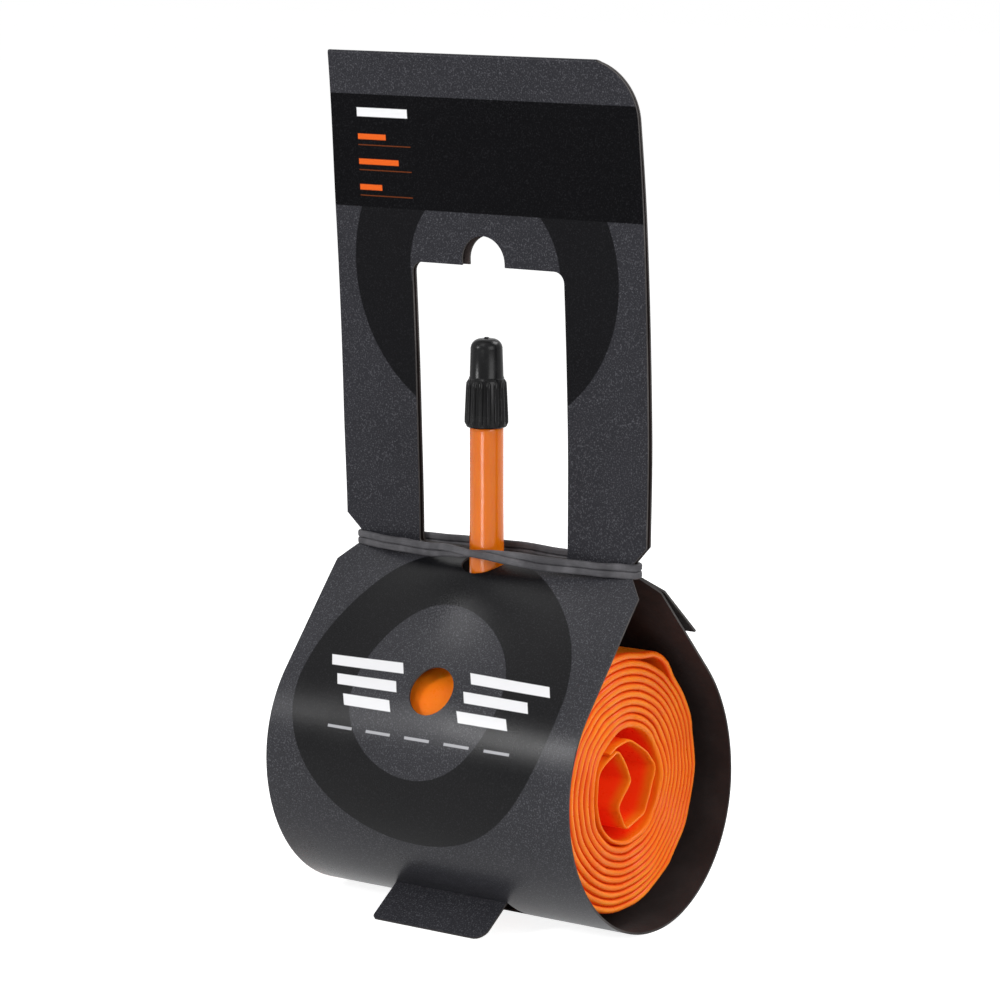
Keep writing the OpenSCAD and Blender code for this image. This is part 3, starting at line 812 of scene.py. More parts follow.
# geometry nodes: a flat or round strip swept along a path, with a gentle ripple
def makeStripTree(cornerSteps=6):
    tree, given, out = newTree(
        "stripAlongPath", "GeometryNodeTree",
        {"Geometry": "Geometry", "Thickness": 0.001, "Width": 0.01, "Corner": 0.0005, "Ripple": 0.0,
         "Ripple Scale": 100.0, "End Ripple": 0.0, "Seed": 0.0, "Material": "Material"},
        {"Geometry": "Geometry"})
    path = putOut(tree, "GeometryNodeMeshToCurve", {"Mesh": given["Geometry"]})
    path = putOut(tree, "GeometryNodeSetCurveNormal", {"Curve": path}, mode="Z_UP")
    path, side = captured(tree, path, "Side", "GeometryNodeInputNormal")
    sides = {"Width": given["Thickness"], "Height": given["Width"]}
    section = putOut(tree, "GeometryNodeCurvePrimitiveQuadrilateral", sides)
    rounding = {"Curve": section, "Radius": given["Corner"], "Count": cornerSteps, "Limit Radius": True}
    section = putOut(tree, "GeometryNodeFilletCurve", rounding, mode="POLY")
    section, spot = captured(tree, section, "Spot", "GeometryNodeInputPosition")
    lofted = {"Curve": path, "Profile Curve": section, "Fill Caps": True}
    swept = putOut(tree, "GeometryNodeCurveToMesh", lofted)
    swell = putOut(tree, "GeometryNodeInputNamedAttribute", {"Name": "swell"}, data_type="FLOAT")
    onSection = partsOf(tree, spot)[0]
    thicken = calc(tree, "MULTIPLY", onSection, calc(tree, "SUBTRACT", swell, 1.0))
    place = tree.nodes.new("GeometryNodeInputPosition").outputs[0]
    stir = {"Vector": place, "W": given["Seed"], "Detail": 1.0, "Scale": given["Ripple Scale"]}
    moved = put(tree, "ShaderNodeTexNoise", stir, noise_dimensions="4D")
    moved = partsOf(tree, vectorCalc(tree, "SUBTRACT", moved.outputs["Color"], (0.5, 0.5, 0.5)))
    aside = calc(tree, "ADD", thicken, calc(tree, "MULTIPLY", moved[0], given["Ripple"]))
    shift = putOut(tree, "ShaderNodeVectorMath", {0: side, "Scale": aside}, operation="SCALE")
    lift = putOut(tree, "ShaderNodeCombineXYZ", {"Z": calc(tree, "MULTIPLY", moved[1], given["End Ripple"])})
    offset = vectorCalc(tree, "ADD", shift, lift)
    swept = putOut(tree, "GeometryNodeSetPosition", {"Geometry": swept, "Offset": offset})
    half = calc(tree, "MULTIPLY", given["Thickness"], 0.5)
    across = calc(tree, "DIVIDE", calc(tree, "ABSOLUTE", onSection), half)  # 1 on the strip's two faces
    stored = {"Geometry": swept, "Name": "across", "Value": across}
    swept = putOut(tree, "GeometryNodeStoreNamedAttribute", stored, data_type="FLOAT", domain="POINT")
    swept = putOut(tree, "GeometryNodeSetShadeSmooth", {"Geometry": swept})
    return closeTree(tree, out, swept, given["Material"])


# geometry nodes: upright ribs round an axis, joined to the turned body they stand on
def makeRibTree(ribSteps=12, roundSteps=14, endPower=10.0, endLeast=0.05):
    tree, given, out = newTree(
        "ribsRound", "GeometryNodeTree",
        {"Geometry": "Geometry", "Count": 12, "Foot Radius": 0.001, "Foot Height": 0.001, "Top Radius": 0.001,
         "Top Height": 0.001, "Rib Radius": 0.001, "Material": "Material"},
        {"Geometry": "Geometry"})
    foot, top = [
        putOut(tree, "ShaderNodeCombineXYZ", {"X": given[end + " Radius"], "Z": given[end + " Height"]})
        for end in ("Foot", "Top")]
    line = putOut(tree, "GeometryNodeCurvePrimitiveLine", {"Start": foot, "End": top})
    line = putOut(tree, "GeometryNodeResampleCurve", {"Curve": line, "Count": ribSteps})
    along = put(tree, "GeometryNodeSplineParameter").outputs["Factor"]
    nearEnd = calc(tree, "ABSOLUTE", calc(tree, "SUBTRACT", calc(tree, "MULTIPLY", along, 2.0), 1.0))
    left = calc(tree, "SUBTRACT", 1.0, calc(tree, "POWER", nearEnd, endPower), clamp=True)
    size = calc(tree, "MAXIMUM", calc(tree, "SQRT", left), endLeast)
    circle = {"Resolution": roundSteps, "Radius": given["Rib Radius"]}
    section = putOut(tree, "GeometryNodeCurvePrimitiveCircle", circle)
    lofted = {"Curve": line, "Profile Curve": section, "Fill Caps": True, "Scale": size}
    rib = putOut(tree, "GeometryNodeCurveToMesh", lofted)
    points = putOut(tree, "GeometryNodeMeshLine", {"Count": given["Count"], "Offset": (0.0, 0.0, 0.0)})
    number = tree.nodes.new("GeometryNodeInputIndex").outputs[0]
    turn = calc(tree, "DIVIDE", calc(tree, "MULTIPLY", number, 2 * math.pi), given["Count"])
    spin = putOut(tree, "ShaderNodeCombineXYZ", {"Z": turn})
    ribs = putOut(tree, "GeometryNodeInstanceOnPoints", {"Points": points, "Instance": rib, "Rotation": spin})
    joined = tree.nodes.new("GeometryNodeJoinGeometry")
    tree.links.new(ribs, joined.inputs[0])
    tree.links.new(given["Geometry"], joined.inputs[0])
    return closeTree(tree, out, joined.outputs[0], given["Material"])


stripTree = makeStripTree()
ribTree = makeRibTree()


def mend(mesh, kind, others=(), weld=0.0, outward=True):  # joins others in, closes seams, turns faces out
    shell = bmesh.new()
    for source in (mesh, *others):
        shell.from_mesh(source)
    if weld:
        bmesh.ops.remove_doubles(shell, verts=shell.verts, dist=weld)
    if outward:
        bmesh.ops.recalc_face_normals(shell, faces=shell.faces)
    shell.to_mesh(mesh)
    shell.free()
    smooth(mesh, kind)
    return mesh


def grow(name, mesh, tree, values, transform=None):  # runs a tree on a mesh and keeps the plain result
    guide = newObject(name + "Guide", mesh)
    modifier = guide.modifiers.new("grow", "NODES")
    modifier.node_group = tree
    for item in tree.interface.items_tree:
        if item.item_type == "SOCKET" and item.in_out == "INPUT" and item.name in values:
            modifier[item.identifier] = values[item.name]
    bpy.context.view_layer.update()
    depsgraph = bpy.context.evaluated_depsgraph_get()
    result = bpy.data.meshes.new_from_object(guide.evaluated_get(depsgraph), depsgraph=depsgraph)
    guide.modifiers.clear()
    bpy.data.objects.remove(guide)
    result.name = name
    if transform:
        result.transform(transform)
    return newObject(name, mend(result, "grown", weld=1e-7))


def sweep(name, path, thick, wide, corner, ripple, material, transform=None):
    size, scale, endSize, seed = ripple
    values = {"Thickness": thick * mm, "Width": wide * mm, "Corner": corner * mm, "Ripple": size * mm,
              "Ripple Scale": scale, "End Ripple": endSize * mm, "Seed": seed, "Material": material}
    return grow(name, path, stripTree, values, transform)


def pathMesh(name, points, closed=False, swell=None):
    count = len(points)
    edges = [(i, (i + 1) % count) for i in range(count if closed else count - 1)]
    mesh = bpy.data.meshes.new(name)
    mesh.from_pydata((np.asarray(points) * mm).tolist(), edges, [])
    layer = mesh.attributes.new("swell", "FLOAT", "POINT")
    layer.data.foreach_set("value", np.ones(count) if swell is None else np.asarray(swell, float))
    return mesh


# orange film: warm and slightly clear, with a painted red glow deep in the core of the roll and painted shade
# in the grooves between turns
filmLook = {
    "plain": {"Subsurface Weight": 0.25, "Subsurface Scale": 0.002, "Subsurface Radius": (1.0, 0.3, 0.08)},
    "cloudAt": (0.3, 0.7),
    "grain": (900.0, 0.4, 90.0),
    "roughBy": "Height",
    "roughAt": (0.3, 0.7),
    "depth": 0.05,
}
tubeSet = {
    "tones": (tone(231, 108, 18), tone(239, 129, 22)),
    "rough": (0.26, 0.35),
    "gloss": 0.13,
    "roughen": 0.1,
    # painted shade: a darker red in the grooves between turns near the roll's ends, lifted by a painted glow
    "groove": tone(206, 62, 10),
    "grooveGlow": tone(88, 21, 2),
    "grooveAt": (0.3, 1.0),  # shares of the way from a turn's middle to its faces
    "grooveIn": (27.6, 28.4),
    # painted light: a red colour and an emission deep in the roll's core stand in for light bounced between
    # the orange turns
    "core": tone(236, 58, 14),
    "paintedCoreGlow": tone(90, 10, 2),
    "coreAt": (-1.0, 26.3),  # y, z
    "coreR": (10.3, 11.6),
    "coreIn": (28.8, 26.0),  # painted red glow from this far along the roll
    "glowIn": (10.0, 26.0),
}
stemLook = {
    "tones": (tone(202, 98, 5), tone(207, 105, 6)),
    "rough": (0.15, 0.24),
    "gloss": 0.3,
    "roughen": 0.02,
}


def filmMaterial(name, film, paint=None):
    look = {**filmLook, "tones": film["tones"], "rough": film["rough"],
            "bump": (film["roughen"], filmLook["depth"])}
    look["plain"] = {**filmLook["plain"], "Specular IOR Level": film["gloss"]}
    return grainMaterial(name, look, paint)


# paints light and shade on the roll: a red glow deep in the core, and red shade lifted by a glow in the
# grooves between turns near its ends
def paintCoreGlowAndGrooveShade(tree, shader, place, grain, colour):
    ts = tubeSet
    y, z = ts["coreAt"]
    low, high = [r * mm for r in ts["coreR"]]

    def stretch(key):  # mask along the roll
        return ramp(tree, along, *(at * mm for at in ts[key]))
    aside = vectorCalc(tree, "SUBTRACT", place, (0.0, y * mm, z * mm))
    far = lengthOf(tree, vectorCalc(tree, "MULTIPLY", aside, (0.0, 1.0, 1.0)))
    along = calc(tree, "ABSOLUTE", partsOf(tree, place)[0])
    deepIn = calc(tree, "MULTIPLY", ramp(tree, far, high, low), stretch("coreIn"))
    across = put(tree, "ShaderNodeAttribute", None, attribute_name="across").outputs["Fac"]
    # painted shade in the grooves between turns, outside the red core
    groove = calc(tree, "MULTIPLY", ramp(tree, across, *ts["grooveAt"]), stretch("grooveIn"))
    groove = calc(tree, "MULTIPLY", groove, ramp(tree, far, low, high))
    colour = mixColour(tree, groove, colour, ts["groove"])
    # painted red glow deep in the core
    colour = mixColour(tree, deepIn, colour, ts["core"])
    lit = calc(tree, "MULTIPLY", deepIn, stretch("glowIn"))
    glow = mixColour(tree, lit, (0.0, 0.0, 0.0, 1.0), ts["paintedCoreGlow"])  # painted glow: emission standing in for light bounced between the turns
    glow = mixColour(tree, groove, glow, ts["grooveGlow"])
    tree.links.new(glow, shader.inputs["Emission Color"])
    shader.inputs["Emission Strength"].default_value = 1.0
    return colour


tubeFilm = filmMaterial("tubeFilm", tubeSet, paintCoreGlowAndGrooveShade)
stemPlastic = filmMaterial("stemPlastic", stemLook)

# the rolled tube, from the fold in its core outwards
rollSet = {
    "centre": (-2.7375, 26.7),  # y, z of the roll's axis
    "foldPoints": [(-4.4, 6.3), (-2.2, 7.3), (2.0, 7.9), (7.5, 4.4), (10.2, 1.8), (8.9, -2.0), (6.8, -6.2),
                   (0.9, -8.2), (-1.8, -3.8), (2.6, 0.5), (1.0, 3.2), (-1.5, 6.5), (-5.0, 5.2)],
    "foldStep": 0.3,
    "foldSoft": 0.75,
    "foldJoin": 6,
    "coreR": 9.8,
    "outerR": 22.99,
    "turns": 9.904,
    "startAngle": 155.0,
    "coreAside": (1.75, -0.45),  # the inner turns lie off the axis
    "coreThick": 0.55,
    "thickenOver": 250.0,  # degrees
    "fill": 0.96,  # share of the pitch that a turn fills
    "waver": 0.2,
    "waverWaves": (3, 0.6),  # waves in a turn and their start
    "waverShare": 4,  # the waver is gone after one part in so many of the roll
    "tentH": 1.4,
    "tentBack": 60.0,
    "tentHalf": 18.0,
    "turnStep": 4.0,
    "corner": 0.46,  # share of the thickness
    "ripple": (0.2, 160.0, 1.3, 3.0),  # size, scale, size at the ends, seed
}


def creased(points, step, soft):  # a line through points with small soft bends, which keeps its ends
    run = np.concatenate([[0], np.cumsum(np.linalg.norm(np.diff(points, axis=0), axis=1))])
    at = np.linspace(0, run[-1], math.ceil(run[-1] / step) + 1)
    line = np.stack([np.interp(at, run, points[:, k]) for k in (0, 1)], 1)
    reach = math.ceil(3 * soft / step)
    weight = np.exp(-0.5 * (np.arange(-reach, reach + 1) * step / soft) ** 2)
    longer = np.concatenate([2 * line[0] - line[reach:0:-1], line, 2 * line[-1] - line[-2:-reach - 2:-1]])
    return np.stack([np.convolve(longer[:, k], weight / weight.sum(), "valid") for k in (0, 1)], 1)


def addRoll():
    rs = rollSet
    low, high = boxOf("coiled_tube")
    start, join, coreR, coreThick = rs["startAngle"], rs["foldJoin"], rs["coreR"], rs["coreThick"]
    waves, phase = rs["waverWaves"]
    endAngle = start + 360 * rs["turns"]
    angle = np.arange(start, endAngle + 0.1, rs["turnStep"])
    gone = (angle - start) / (endAngle - start)
    turn = np.radians(angle)
    away = np.abs(angle - (endAngle - rs["tentBack"]))
    tent = rs["tentH"] * (1 + np.cos(np.pi * away / rs["tentHalf"])) / 2
    radius = coreR + (rs["outerR"] - coreR) * gone
    early = np.sin(np.pi * np.clip(gone * rs["waverShare"], 0, 1))
    radius += rs["waver"] * early * np.cos(waves * turn + phase)
    radius += np.where(away < rs["tentHalf"], tent, 0)
    ring = np.stack([np.cos(turn), np.sin(turn)], 1)
    spiral = radius[:, None] * ring + np.outer(1 - gone, rs["coreAside"])
    folds = creased(np.concatenate([rs["foldPoints"], spiral[:join]]), rs["foldStep"], rs["foldSoft"])
    line = np.concatenate([folds, spiral[join:]]) + rs["centre"]
    pitch = (rs["outerR"] - coreR - ring @ np.array(rs["coreAside"])) / rs["turns"]
    thick = coreThick + (rs["fill"] * pitch - coreThick) * softStep((angle - start) / rs["thickenOver"])
    thick = np.concatenate([np.full(len(folds), coreThick), thick[join:]])
    most = thick.max()
    path = pathMesh("rollPath", np.column_stack([line, np.zeros(len(line))]), False, thick / most)
    upright = Matrix(((0, 0, 1, 0), (1, 0, 0, 0), (0, 1, 0, 0), (0, 0, 0, 1)))  # drawn flat, set upright
    wide, corner = high.x - low.x, most * rs["corner"]
    roll = sweep("coiledTube", path, most, wide, corner, rs["ripple"], tubeFilm, upright)
    attach(roll, "pack", "coiled_tube")


addRoll()
print("tube rolled")

# turned pieces: a closed outline of (radius, height) spun round the valve's axis
stemLow, stemHigh = boxOf("valve_stem")
valveAxis = Vector(((stemLow.x + stemHigh.x) / 2, (stemLow.y + stemHigh.y) / 2, 0.0))
onAxis = Matrix.Translation(valveAxis * mm)


def turnedMesh(name, outline, segments):
    turn = 2 * np.pi * np.arange(segments) / segments
    verts, rings = [], []
    for r, z in outline:
        if r < 1e-6:
            rings.append([len(verts)] * segments)
            verts.append((0.0, 0.0, z))
        else:
            rings.append(list(range(len(verts), len(verts) + segments)))
            verts += [(r * math.cos(t), r * math.sin(t), z) for t in turn]
    faces = []
    closed = outline[0][0] > 1e-6
    pairs = list(zip(rings, rings[1:])) + ([(rings[-1], rings[0])] if closed else [])
    for a, b in pairs:
        for i in range(segments):
            j = (i + 1) % segments
            face = list(dict.fromkeys([a[i], a[j], b[j], b[i]]))
            if len(face) > 2:
                faces.append(face)
    mesh = bpy.data.meshes.new(name)
    mesh.from_pydata([(x * mm, y * mm, z * mm) for x, y, z in verts], [], faces)
    return mend(mesh, "turned")


def addTurned(name, mesh, body, node, material):
    mesh.transform(onAxis)
    mesh.materials.clear()
    mesh.materials.append(material)
    attach(newObject(name, mesh), body, node)


def addRibbed(name, mesh, count, foot, top, ribR, material):  # foot and top: radius and height of the ribs
    values = {"Count": count, "Foot Radius": foot[0] * mm, "Foot Height": foot[1] * mm,
              "Top Radius": top[0] * mm, "Top Height": top[1] * mm, "Rib Radius": ribR * mm,
              "Material": material}
    return grow(name, mesh, ribTree, values, onAxis)


# the stem, moulded with a slightly stouter root
stemSet = {
    "stemR": 3.0,
    "rootR": 3.08,
    "rootTop": 66.0,
    "taper": 8.0,
    "boreR": 2.42,
    "channelR": 1.5,
    "socket": 76.87,
    "bevel": 0.25,
    "hold": 0.5,  # rows that keep the long sides' shading straight
    "segments": 72,
}


def addStem():
    ss = stemSet
    foot, top, root, socket = stemLow.z, stemHigh.z, ss["rootTop"], ss["socket"]
    r, rootR, bevel, hold = ss["stemR"], ss["rootR"], ss["bevel"], ss["hold"]
    side = [(rootR, foot), (rootR, root - hold), (rootR, root), (r, root + ss["taper"]),
            (r, root + ss["taper"] + hold), (r, top - bevel - hold), (r, top - bevel)]
    rim = [(r - bevel / 3, top - bevel / 3), (r - bevel, top)]
    bore = [(ss["boreR"], top), (ss["boreR"], socket), (ss["channelR"], socket), (ss["channelR"], foot)]
    mesh = turnedMesh("valveStem", side + rim + bore, ss["segments"])
    addTurned("valveStem", mesh, "pack", "valve_stem", stemPlastic)


addStem()


# moulded plastic and rubber
plasticLook = {
    "cloudAt": (0.3, 0.75),
    "fleckShare": 0.5,
    "cloudScale": 240.0,
    "roughBy": "Cloud",
    "roughAt": (0.25, 0.75),
    "depth": 0.06,
}


def plasticMaterial(name, dark, pale, rough, gloss, fleckScale, roughen):
    look = {**plasticLook, "tones": (dark, pale), "rough": rough, "plain": {"Specular IOR Level": gloss},
            "grain": (fleckScale, plasticLook["fleckShare"], plasticLook["cloudScale"]),
            "bump": (roughen, plasticLook["depth"])}
    return grainMaterial(name, look)


plasticKinds = {
    # dark and pale tones, roughness, gloss, fleck scale, strength of the grain
    "capPlastic": (tone(12, 12, 13), tone(19, 19, 20), (0.19, 0.31), 0.13, 2600.0, 0.1),
    "bandRubber": (tone(62, 61, 64), tone(92, 91, 94), (0.5, 0.62), 0.12, 1800.0, 0.5),
    "sealRubber": (tone(26, 26, 26), tone(36, 36, 36), (0.55, 0.67), 0.15, 2200.0, 0.3),
}
capPlastic, bandRubber, sealRubber = [plasticMaterial(name, *kind) for name, kind in plasticKinds.items()]

# dust cap: ribbed skirt and a smooth dome
capSet = {
    "skirtR": 3.9,
    "skirtTopR": 3.5,
    "skirtH": 8.4,
    "ribCount": 15,
    "ribR": 0.5,
    "ribSink": 0.4,
    "ribEnds": (0.02, 0.1),  # above the lip, below the shoulder
    "grooveDepth": 0.28,
    "lipDown": 0.3,
    "lipR": 3.07,
    "lipEdge": 0.15,
    "shoulder": (0.5, 0.12, 0.1),  # its edge starts this far down, comes in and ends
    "domeR": 1.8,
    "domeFootR": 3.0,
    "domeFoot": (0.15, 0.02, 0.25),  # out, and the heights between which it comes in
    "domeTopR": 2.85,
    "domeTurn": 82.0,
    "nubR": 0.45,
    "nubH": 0.25,
    "nubEdge": 0.1,
    "roof": 1.75,
    "tipR": 2.15,  # the hollow, from its tip to its mouth
    "tipFrom": 8.0,
    "hollowR": 2.6,
    "mouthH": 1.8,
    "mouthR": 2.85,
    "segments": 90,
}


def addCap():
    ks = capSet
    low, high = boxOf("valve_cap")
    foot, top = low.z, high.z
    lip, lipEdge = foot - ks["lipDown"], ks["lipEdge"]
    skirtR, skirtTopR = ks["skirtR"] - ks["grooveDepth"], ks["skirtTopR"] - ks["grooveDepth"]
    shoulder, domeTop, roof = foot + ks["skirtH"], top - ks["nubH"], top - ks["roof"]
    drop, inward, edge = ks["shoulder"]
    out, rise, end = ks["domeFoot"]
    nubR, nubEdge, domeR = ks["nubR"], ks["nubEdge"], ks["domeR"]
    hollow = [(0.0, roof), (ks["tipR"], roof), (ks["tipR"], foot + ks["tipFrom"]),
              (ks["hollowR"], foot + ks["tipFrom"]), (ks["hollowR"], foot + ks["mouthH"]),
              (ks["mouthR"], foot + ks["mouthH"]), (ks["mouthR"], foot), (ks["lipR"], foot)]
    skirt = [(ks["lipR"], lip), (skirtR - lipEdge, lip), (skirtR, lip + lipEdge),
             (skirtTopR, shoulder - drop), (skirtTopR - inward, shoulder - edge),
             (ks["domeFootR"] + out, shoulder + rise), (ks["domeFootR"], shoulder + end)]
    dome = arcPoints((ks["domeTopR"] - domeR, domeTop - domeR), domeR, 0, ks["domeTurn"], 12)
    nub = [(nubR + nubEdge, domeTop), (nubR, domeTop + nubEdge), (nubR - nubEdge, top), (0.0, top)]
    mesh = turnedMesh("valveCap", hollow + skirt + [tuple(p) for p in dome] + nub, ks["segments"])
    above, below = ks["ribEnds"]
    cap = addRibbed("valveCap", mesh, ks["ribCount"], (ks["skirtR"] - ks["ribSink"], lip + above),
                    (ks["skirtTopR"] - ks["ribSink"], shoulder - below), ks["ribR"], capPlastic)
    attach(cap, "cap", "valve_cap")


addCap()

# brass of the valve's core
brassLook = {
    "plain": {"Metallic": 1.0},
    "tones": (tone(184, 152, 92), tone(208, 180, 122)),
    "cloudAt": (0.3, 0.7),
    "grain": (3000.0, 0.5, 400.0),
    "roughBy": "Height",
    "roughAt": (0.25, 0.75),
    "rough": (0.24, 0.38),
    "bump": (0.1, 0.03),
}
coreBrass = grainMaterial("coreBrass", brassLook)
coreSet = {
    "noseR": 1.9,
    "noseLen": 2.4,
    "threadR": 2.4,
    "flangeR": 2.7,
    "flangeH": 1.8,
    "flangeEdge": 0.2,
    "flatsHalf": 2.55,
    "neckR": 2.45,
    "neckEdge": (0.25, 0.35),  # in, down
    "threadDepth": 0.28,
    "threadPitch": 0.8,
    "threadEnds": (0.6, 0.5),  # above the collar, below the top
    "boreR": 1.25,
    "segments": 72,
}
pinSet = {
    "pinR": 0.8,
    "footR": 1.3,
    "footH": 1.0,
    "tipR": 1.15,
    "tipH": 0.5,
    "tipEdges": (0.12, 0.15),  # below, above
    "plainTo": 8.0,  # above the stem
    "runOut": 0.2,
    "threadFrom": 8.3,
    "threadPitch": 0.45,
    "threadDepth": 0.14,
    "segments": 40,
}
nutSet = {
    "r": 2.0,
    "boreR": 0.86,
    "ribCount": 18,
    "ribR": 0.26,
    "ribEnd": 0.25,
    "grooveDepth": 0.2,
    "bevel": 0.3,
    "segments": 54,
}
threadSet = {
    "steps": 40,  # in a turn
    "fade": 2,  # the thread dies out over half a turn
    "fadeLeast": 0.1,
    "sink": 0.05,
    "share": 0.62,  # of the pitch
    "corner": 0.4,  # of the depth
    "ripple": (0.0, 100.0, 0.0, 0.0),
}


def sweptThread(name, radius, depth, low, high, pitch):
    ts = threadSet
    turns = (high - low) / pitch
    share = np.linspace(0, 1, int(turns * ts["steps"]) + 1)
    turn = 2 * np.pi * turns * share
    swell = np.clip(np.minimum(share, 1 - share) * turns * ts["fade"], ts["fadeLeast"], 1)
    inR = radius - depth / 2 - ts["sink"]
    points = np.stack([inR * np.cos(turn), inR * np.sin(turn), low + (high - low) * share], 1)
    piece = sweep(name, pathMesh("thread", points, False, swell), depth + 2 * ts["sink"], pitch * ts["share"],
                  depth * ts["corner"], ts["ripple"], coreBrass)
    mesh = piece.data
    bpy.data.objects.remove(piece)
    return mesh


def addThreaded(name, outline, segments, thread, body, node, flats=None):
    mesh = turnedMesh(name, outline, segments)
    if flats:
        flats(mesh)
    mesh = mend(mesh, "turned", [thread], outward=False)
    addTurned(name, mesh, body, node, coreBrass)


def addCoreBody(seat):
    ks = coreSet
    low, high = boxOf("core_body")
    nose, collar, neckR = low.z + ks["noseLen"], seat + ks["flangeH"], ks["neckR"] - ks["threadDepth"]
    edge, (neckIn, neckDown) = ks["flangeEdge"], ks["neckEdge"]
    outline = [(ks["boreR"], low.z), (ks["noseR"], low.z), (ks["noseR"], nose), (ks["threadR"], nose),
               (ks["threadR"], seat), (ks["flangeR"], seat), (ks["flangeR"], collar - edge),
               (ks["flangeR"] - edge, collar), (neckR, collar), (neckR, high.z - neckDown),
               (neckR - neckIn, high.z), (ks["boreR"], high.z)]

    def cutFlats(mesh):  # two flats on the collar for a key
        half, slack = ks["flatsHalf"] * mm, 0.01
        for vertex in mesh.vertices:
            if (seat - slack) * mm < vertex.co.z < (collar + slack) * mm:
                vertex.co.x = max(-half, min(half, vertex.co.x))
    above, below = ks["threadEnds"]
    thread = sweptThread("neckThread", ks["neckR"], ks["threadDepth"], collar + above, high.z - below,
                         ks["threadPitch"])
    addThreaded("coreBody", outline, ks["segments"], thread, "pack", "core_body", cutFlats)


def addPin(seat):
    ps = pinSet
    low, high = boxOf("core_pin")
    pinR, tipR, threadR = ps["pinR"], ps["tipR"], ps["pinR"] - ps["threadDepth"]
    collar, plainTo, tip = low.z + ps["footH"], seat + ps["plainTo"], high.z - ps["tipH"]
    under, upper = ps["tipEdges"]
    outline = [(0.0, low.z), (ps["footR"], low.z), (ps["footR"], collar), (pinR, collar), (pinR, plainTo),
               (threadR, plainTo + ps["runOut"]), (threadR, tip), (tipR - under, tip), (tipR, tip + under),
               (tipR, high.z - upper), (tipR - upper, high.z), (0.0, high.z)]
    thread = sweptThread("pinThread", pinR, ps["threadDepth"], seat + ps["threadFrom"], tip - ps["runOut"],
                         ps["threadPitch"])
    addThreaded("corePin", outline, ps["segments"], thread, "pin", "core_pin")


def addNut():
    ns = nutSet
    low, high = boxOf("lock_nut")
    r, bevel, ribAt = ns["r"] - ns["grooveDepth"], ns["bevel"], ns["r"] - ns["ribR"]
    outline = [(ns["boreR"], low.z), (r - bevel, low.z), (r, low.z + bevel), (r, high.z - bevel),
               (r - bevel, high.z), (ns["boreR"], high.z)]
    nut = addRibbed("lockNut", turnedMesh("lockNut", outline, ns["segments"]), ns["ribCount"],
                    (ribAt, low.z + ns["ribEnd"]), (ribAt, high.z - ns["ribEnd"]), ns["ribR"], coreBrass)
    attach(nut, "nut", "lock_nut")


addCoreBody(stemHigh.z)
addPin(stemHigh.z)
addNut()
for node, material in (("valve_base", tubeFilm), ("core_seal", sealRubber), ("pin_seal", sealRubber)):
    nodes[node].data.materials.clear()
    nodes[node].data.materials.append(material)
print("valve made")

# the rubber band runs twice round the neck and the front of the stem
bandSet = {
    "thick": 0.95,
    "wide": 1.3,
    "corner": 0.42,
    "pairR": 0.64,
    "gap": 0.06,
    "step": 0.8,
    "turnSteps": 12,
    "cross": (-14.0, 18.0),  # where its two rounds change places, in front
    "drop": 1.3,  # it lies lower at the notches than at the valve
    "dropHalf": 11.0,
    "rearRise": -0.25,
    "ripple": (0.3, 180.0, 0.5, 1.0),
}


def addBand():
    bs = bandSet
    hug = bs["gap"] + bs["thick"] / 2
    holdR = plyStep + halfCard + hug
    holdX = cs["neckHalf"] + hug - holdR
    tuckY = crease[0] + plyStep
    stemHold = (valveAxis.x, valveAxis.y, stemSet["rootR"] + hug)
    holds = [(-holdX, tuckY, holdR), stemHold, (holdX, tuckY, holdR)]
    low, high = bs["cross"]
    steps, drop = bs["turnSteps"], bs["drop"]

    def leave(i):
        (ax, ay, ar), (bx, by, br) = holds[i], holds[(i + 1) % 3]
        return math.atan2(by - ay, bx - ax) - math.acos((ar - br) / math.hypot(bx - ax, by - ay))
    route = []  # x, y, the way out, share of the change of places, height
    for i, (x, y, r) in enumerate(holds):
        start = leave((i + 2) % 3)
        swing = (leave(i) - start) % (2 * math.pi)
        turn = start + swing * np.arange(steps) / steps
        run = np.stack([x + r * np.cos(turn), y + r * np.sin(turn), turn], 1)
        a = start + swing
        nx, ny, nr = holds[(i + 1) % 3]
        here = np.array([x + r * math.cos(a), y + r * math.sin(a), a])
        there = np.array([nx + nr * math.cos(a), ny + nr * math.sin(a), a])
        count = max(2, round(np.linalg.norm(there - here) / bs["step"]))
        run = np.concatenate([run, here + (there - here) * np.arange(count)[:, None] / count])
        change = softStep((run[:, 0] - low) / (high - low))
        level = bandZ - drop * (1 - np.exp(-((run[:, 0] - valveAxis.x) / bs["dropHalf"]) ** 2))
        if i == 2:  # from the right notch along the rear
            change[:] = 1
            inward = 1 - np.clip(np.abs(run[:, 0]) / holdX, 0, 1) ** 2
            level = bandZ - drop + (drop + bs["rearRise"]) * inward
        route += list(np.column_stack([run, change, level]))
    points = []
    for lap in (0, 1):
        for x, y, a, change, level in route:
            twist = math.pi * (lap + change)
            out = bs["pairR"] * (abs(math.sin(twist)) + math.sin(twist))
            height = level + bs["pairR"] * math.cos(twist)
            points.append((x + out * math.cos(a), y + out * math.sin(a), height))
    band = sweep("rubberBand", pathMesh("bandPath", points, True), bs["thick"], bs["wide"], bs["corner"],
                 bs["ripple"], bandRubber)
    attach(band, "pack", "rubber_band")


addBand()
print("band wound")

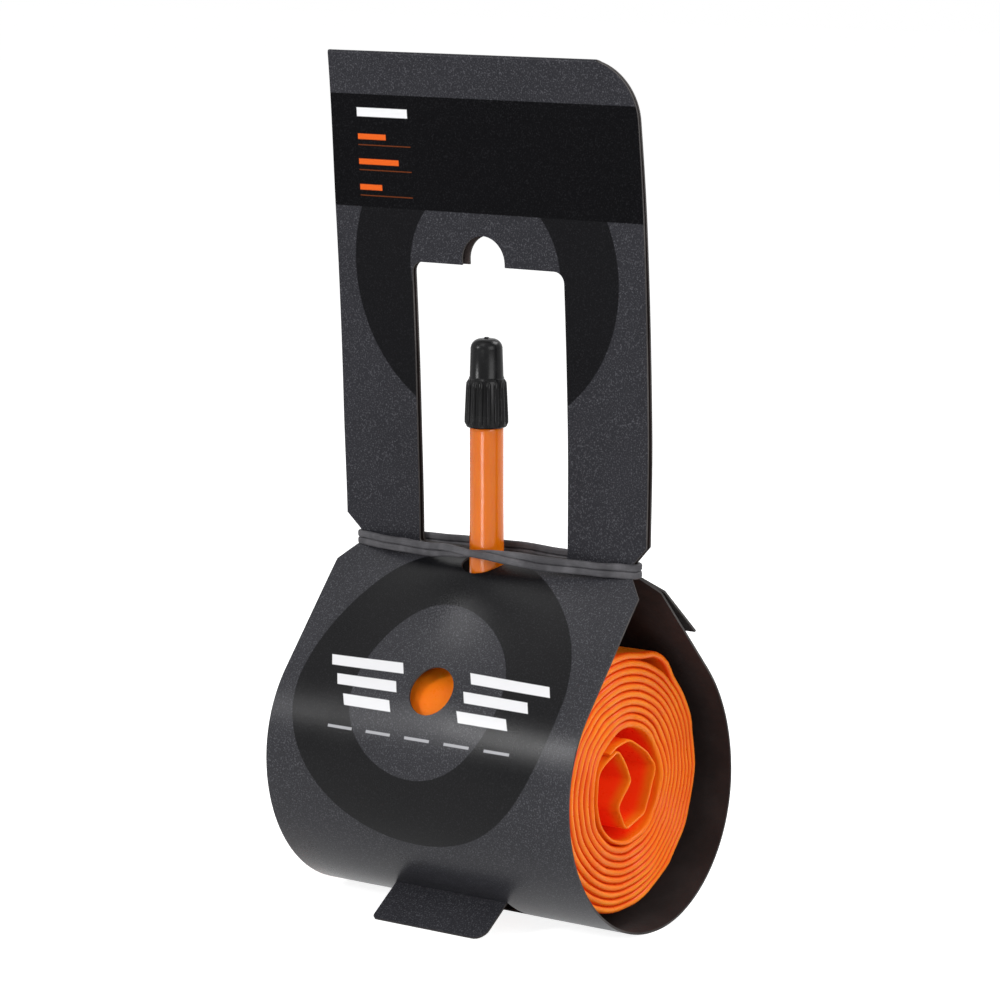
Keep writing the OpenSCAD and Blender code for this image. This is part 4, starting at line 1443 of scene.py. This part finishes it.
# floor, background and lamps
studioSet = {
    "floorHalf": 3000.0,
    "floorTone": 0.6,
    "floorGlow": 0.87,
    "worldLight": 0.22,
}
lampSet = [
    # name, aim, azimuth, elevation, distance, width, height, watts
    ("frontLamp", (1.0, -5.0, 27.0), 6.0, 0.0, 380.0, 112.0, 56.0, 0.29),
    ("sheenLamp", (25.0, -22.0, 42.0), -36.0, 25.0, 700.0, 130.0, 160.0, 2.1),
    ("topLamp", (0.0, -8.0, 155.0), -5.0, 45.0, 165.0, 100.0, 100.0, 0.12),
    ("sideLamp", (30.0, 0.0, 40.0), 70.0, 25.0, 700.0, 400.0, 400.0, 2.95),
    ("backLamp", (0.0, 0.0, 70.0), 150.0, 50.0, 800.0, 400.0, 300.0, 4.0),
]


def seenDirectly(tree):  # 1 for the camera, in reflections and through clear pieces
    path = tree.nodes.new("ShaderNodeLightPath").outputs
    mirrored = calc(tree, "MAXIMUM", path["Is Glossy Ray"], path["Is Transmission Ray"])
    return calc(tree, "MAXIMUM", path["Is Camera Ray"], mirrored)


def addFloor():
    half = studioSet["floorHalf"] * mm
    corners = [(-half, -half, 0), (half, -half, 0), (half, half, 0), (-half, half, 0)]
    mesh = bpy.data.meshes.new("floor")
    mesh.from_pydata(corners, [], [(0, 1, 2, 3)])
    newObject("floor", mesh)
    material = bpy.data.materials.new("paleFloor")
    material.use_nodes = True
    tree = material.node_tree
    tree.nodes.clear()
    grey = studioSet["floorTone"]
    matte = putOut(tree, "ShaderNodeBsdfDiffuse", {"Color": (grey, grey, grey, 1.0)})
    strength = calc(tree, "MULTIPLY", seenDirectly(tree), studioSet["floorGlow"])
    glow = putOut(tree, "ShaderNodeEmission", {"Strength": strength})
    both = putOut(tree, "ShaderNodeAddShader", {0: matte, 1: glow})
    put(tree, "ShaderNodeOutputMaterial", {"Surface": both})
    mesh.materials.append(material)


def addWorld():
    world = bpy.data.worlds.new("whiteStudio")
    world.use_nodes = True
    tree = world.node_tree
    light = studioSet["worldLight"]
    strength = calc(tree, "ADD", light, calc(tree, "MULTIPLY", seenDirectly(tree), 1 - light))
    background = tree.nodes["Background"].inputs
    background["Color"].default_value = (1.0, 1.0, 1.0, 1.0)
    tree.links.new(strength, background["Strength"])
    scene.world = world


def addLamps():
    for name, aim, azimuth, elevation, distance, width, height, power in lampSet:
        away = awayAt(azimuth, elevation)
        lamp = bpy.data.lights.new(name, "AREA")
        lamp.shape = "RECTANGLE"
        lamp.size, lamp.size_y, lamp.energy = width * mm, height * mm, power
        addAimed(name, lamp, Vector(aim) + away * distance, away).visible_camera = False


addFloor()
addWorld()
addLamps()
scene.view_settings.view_transform = "Standard"
print("studio lit")
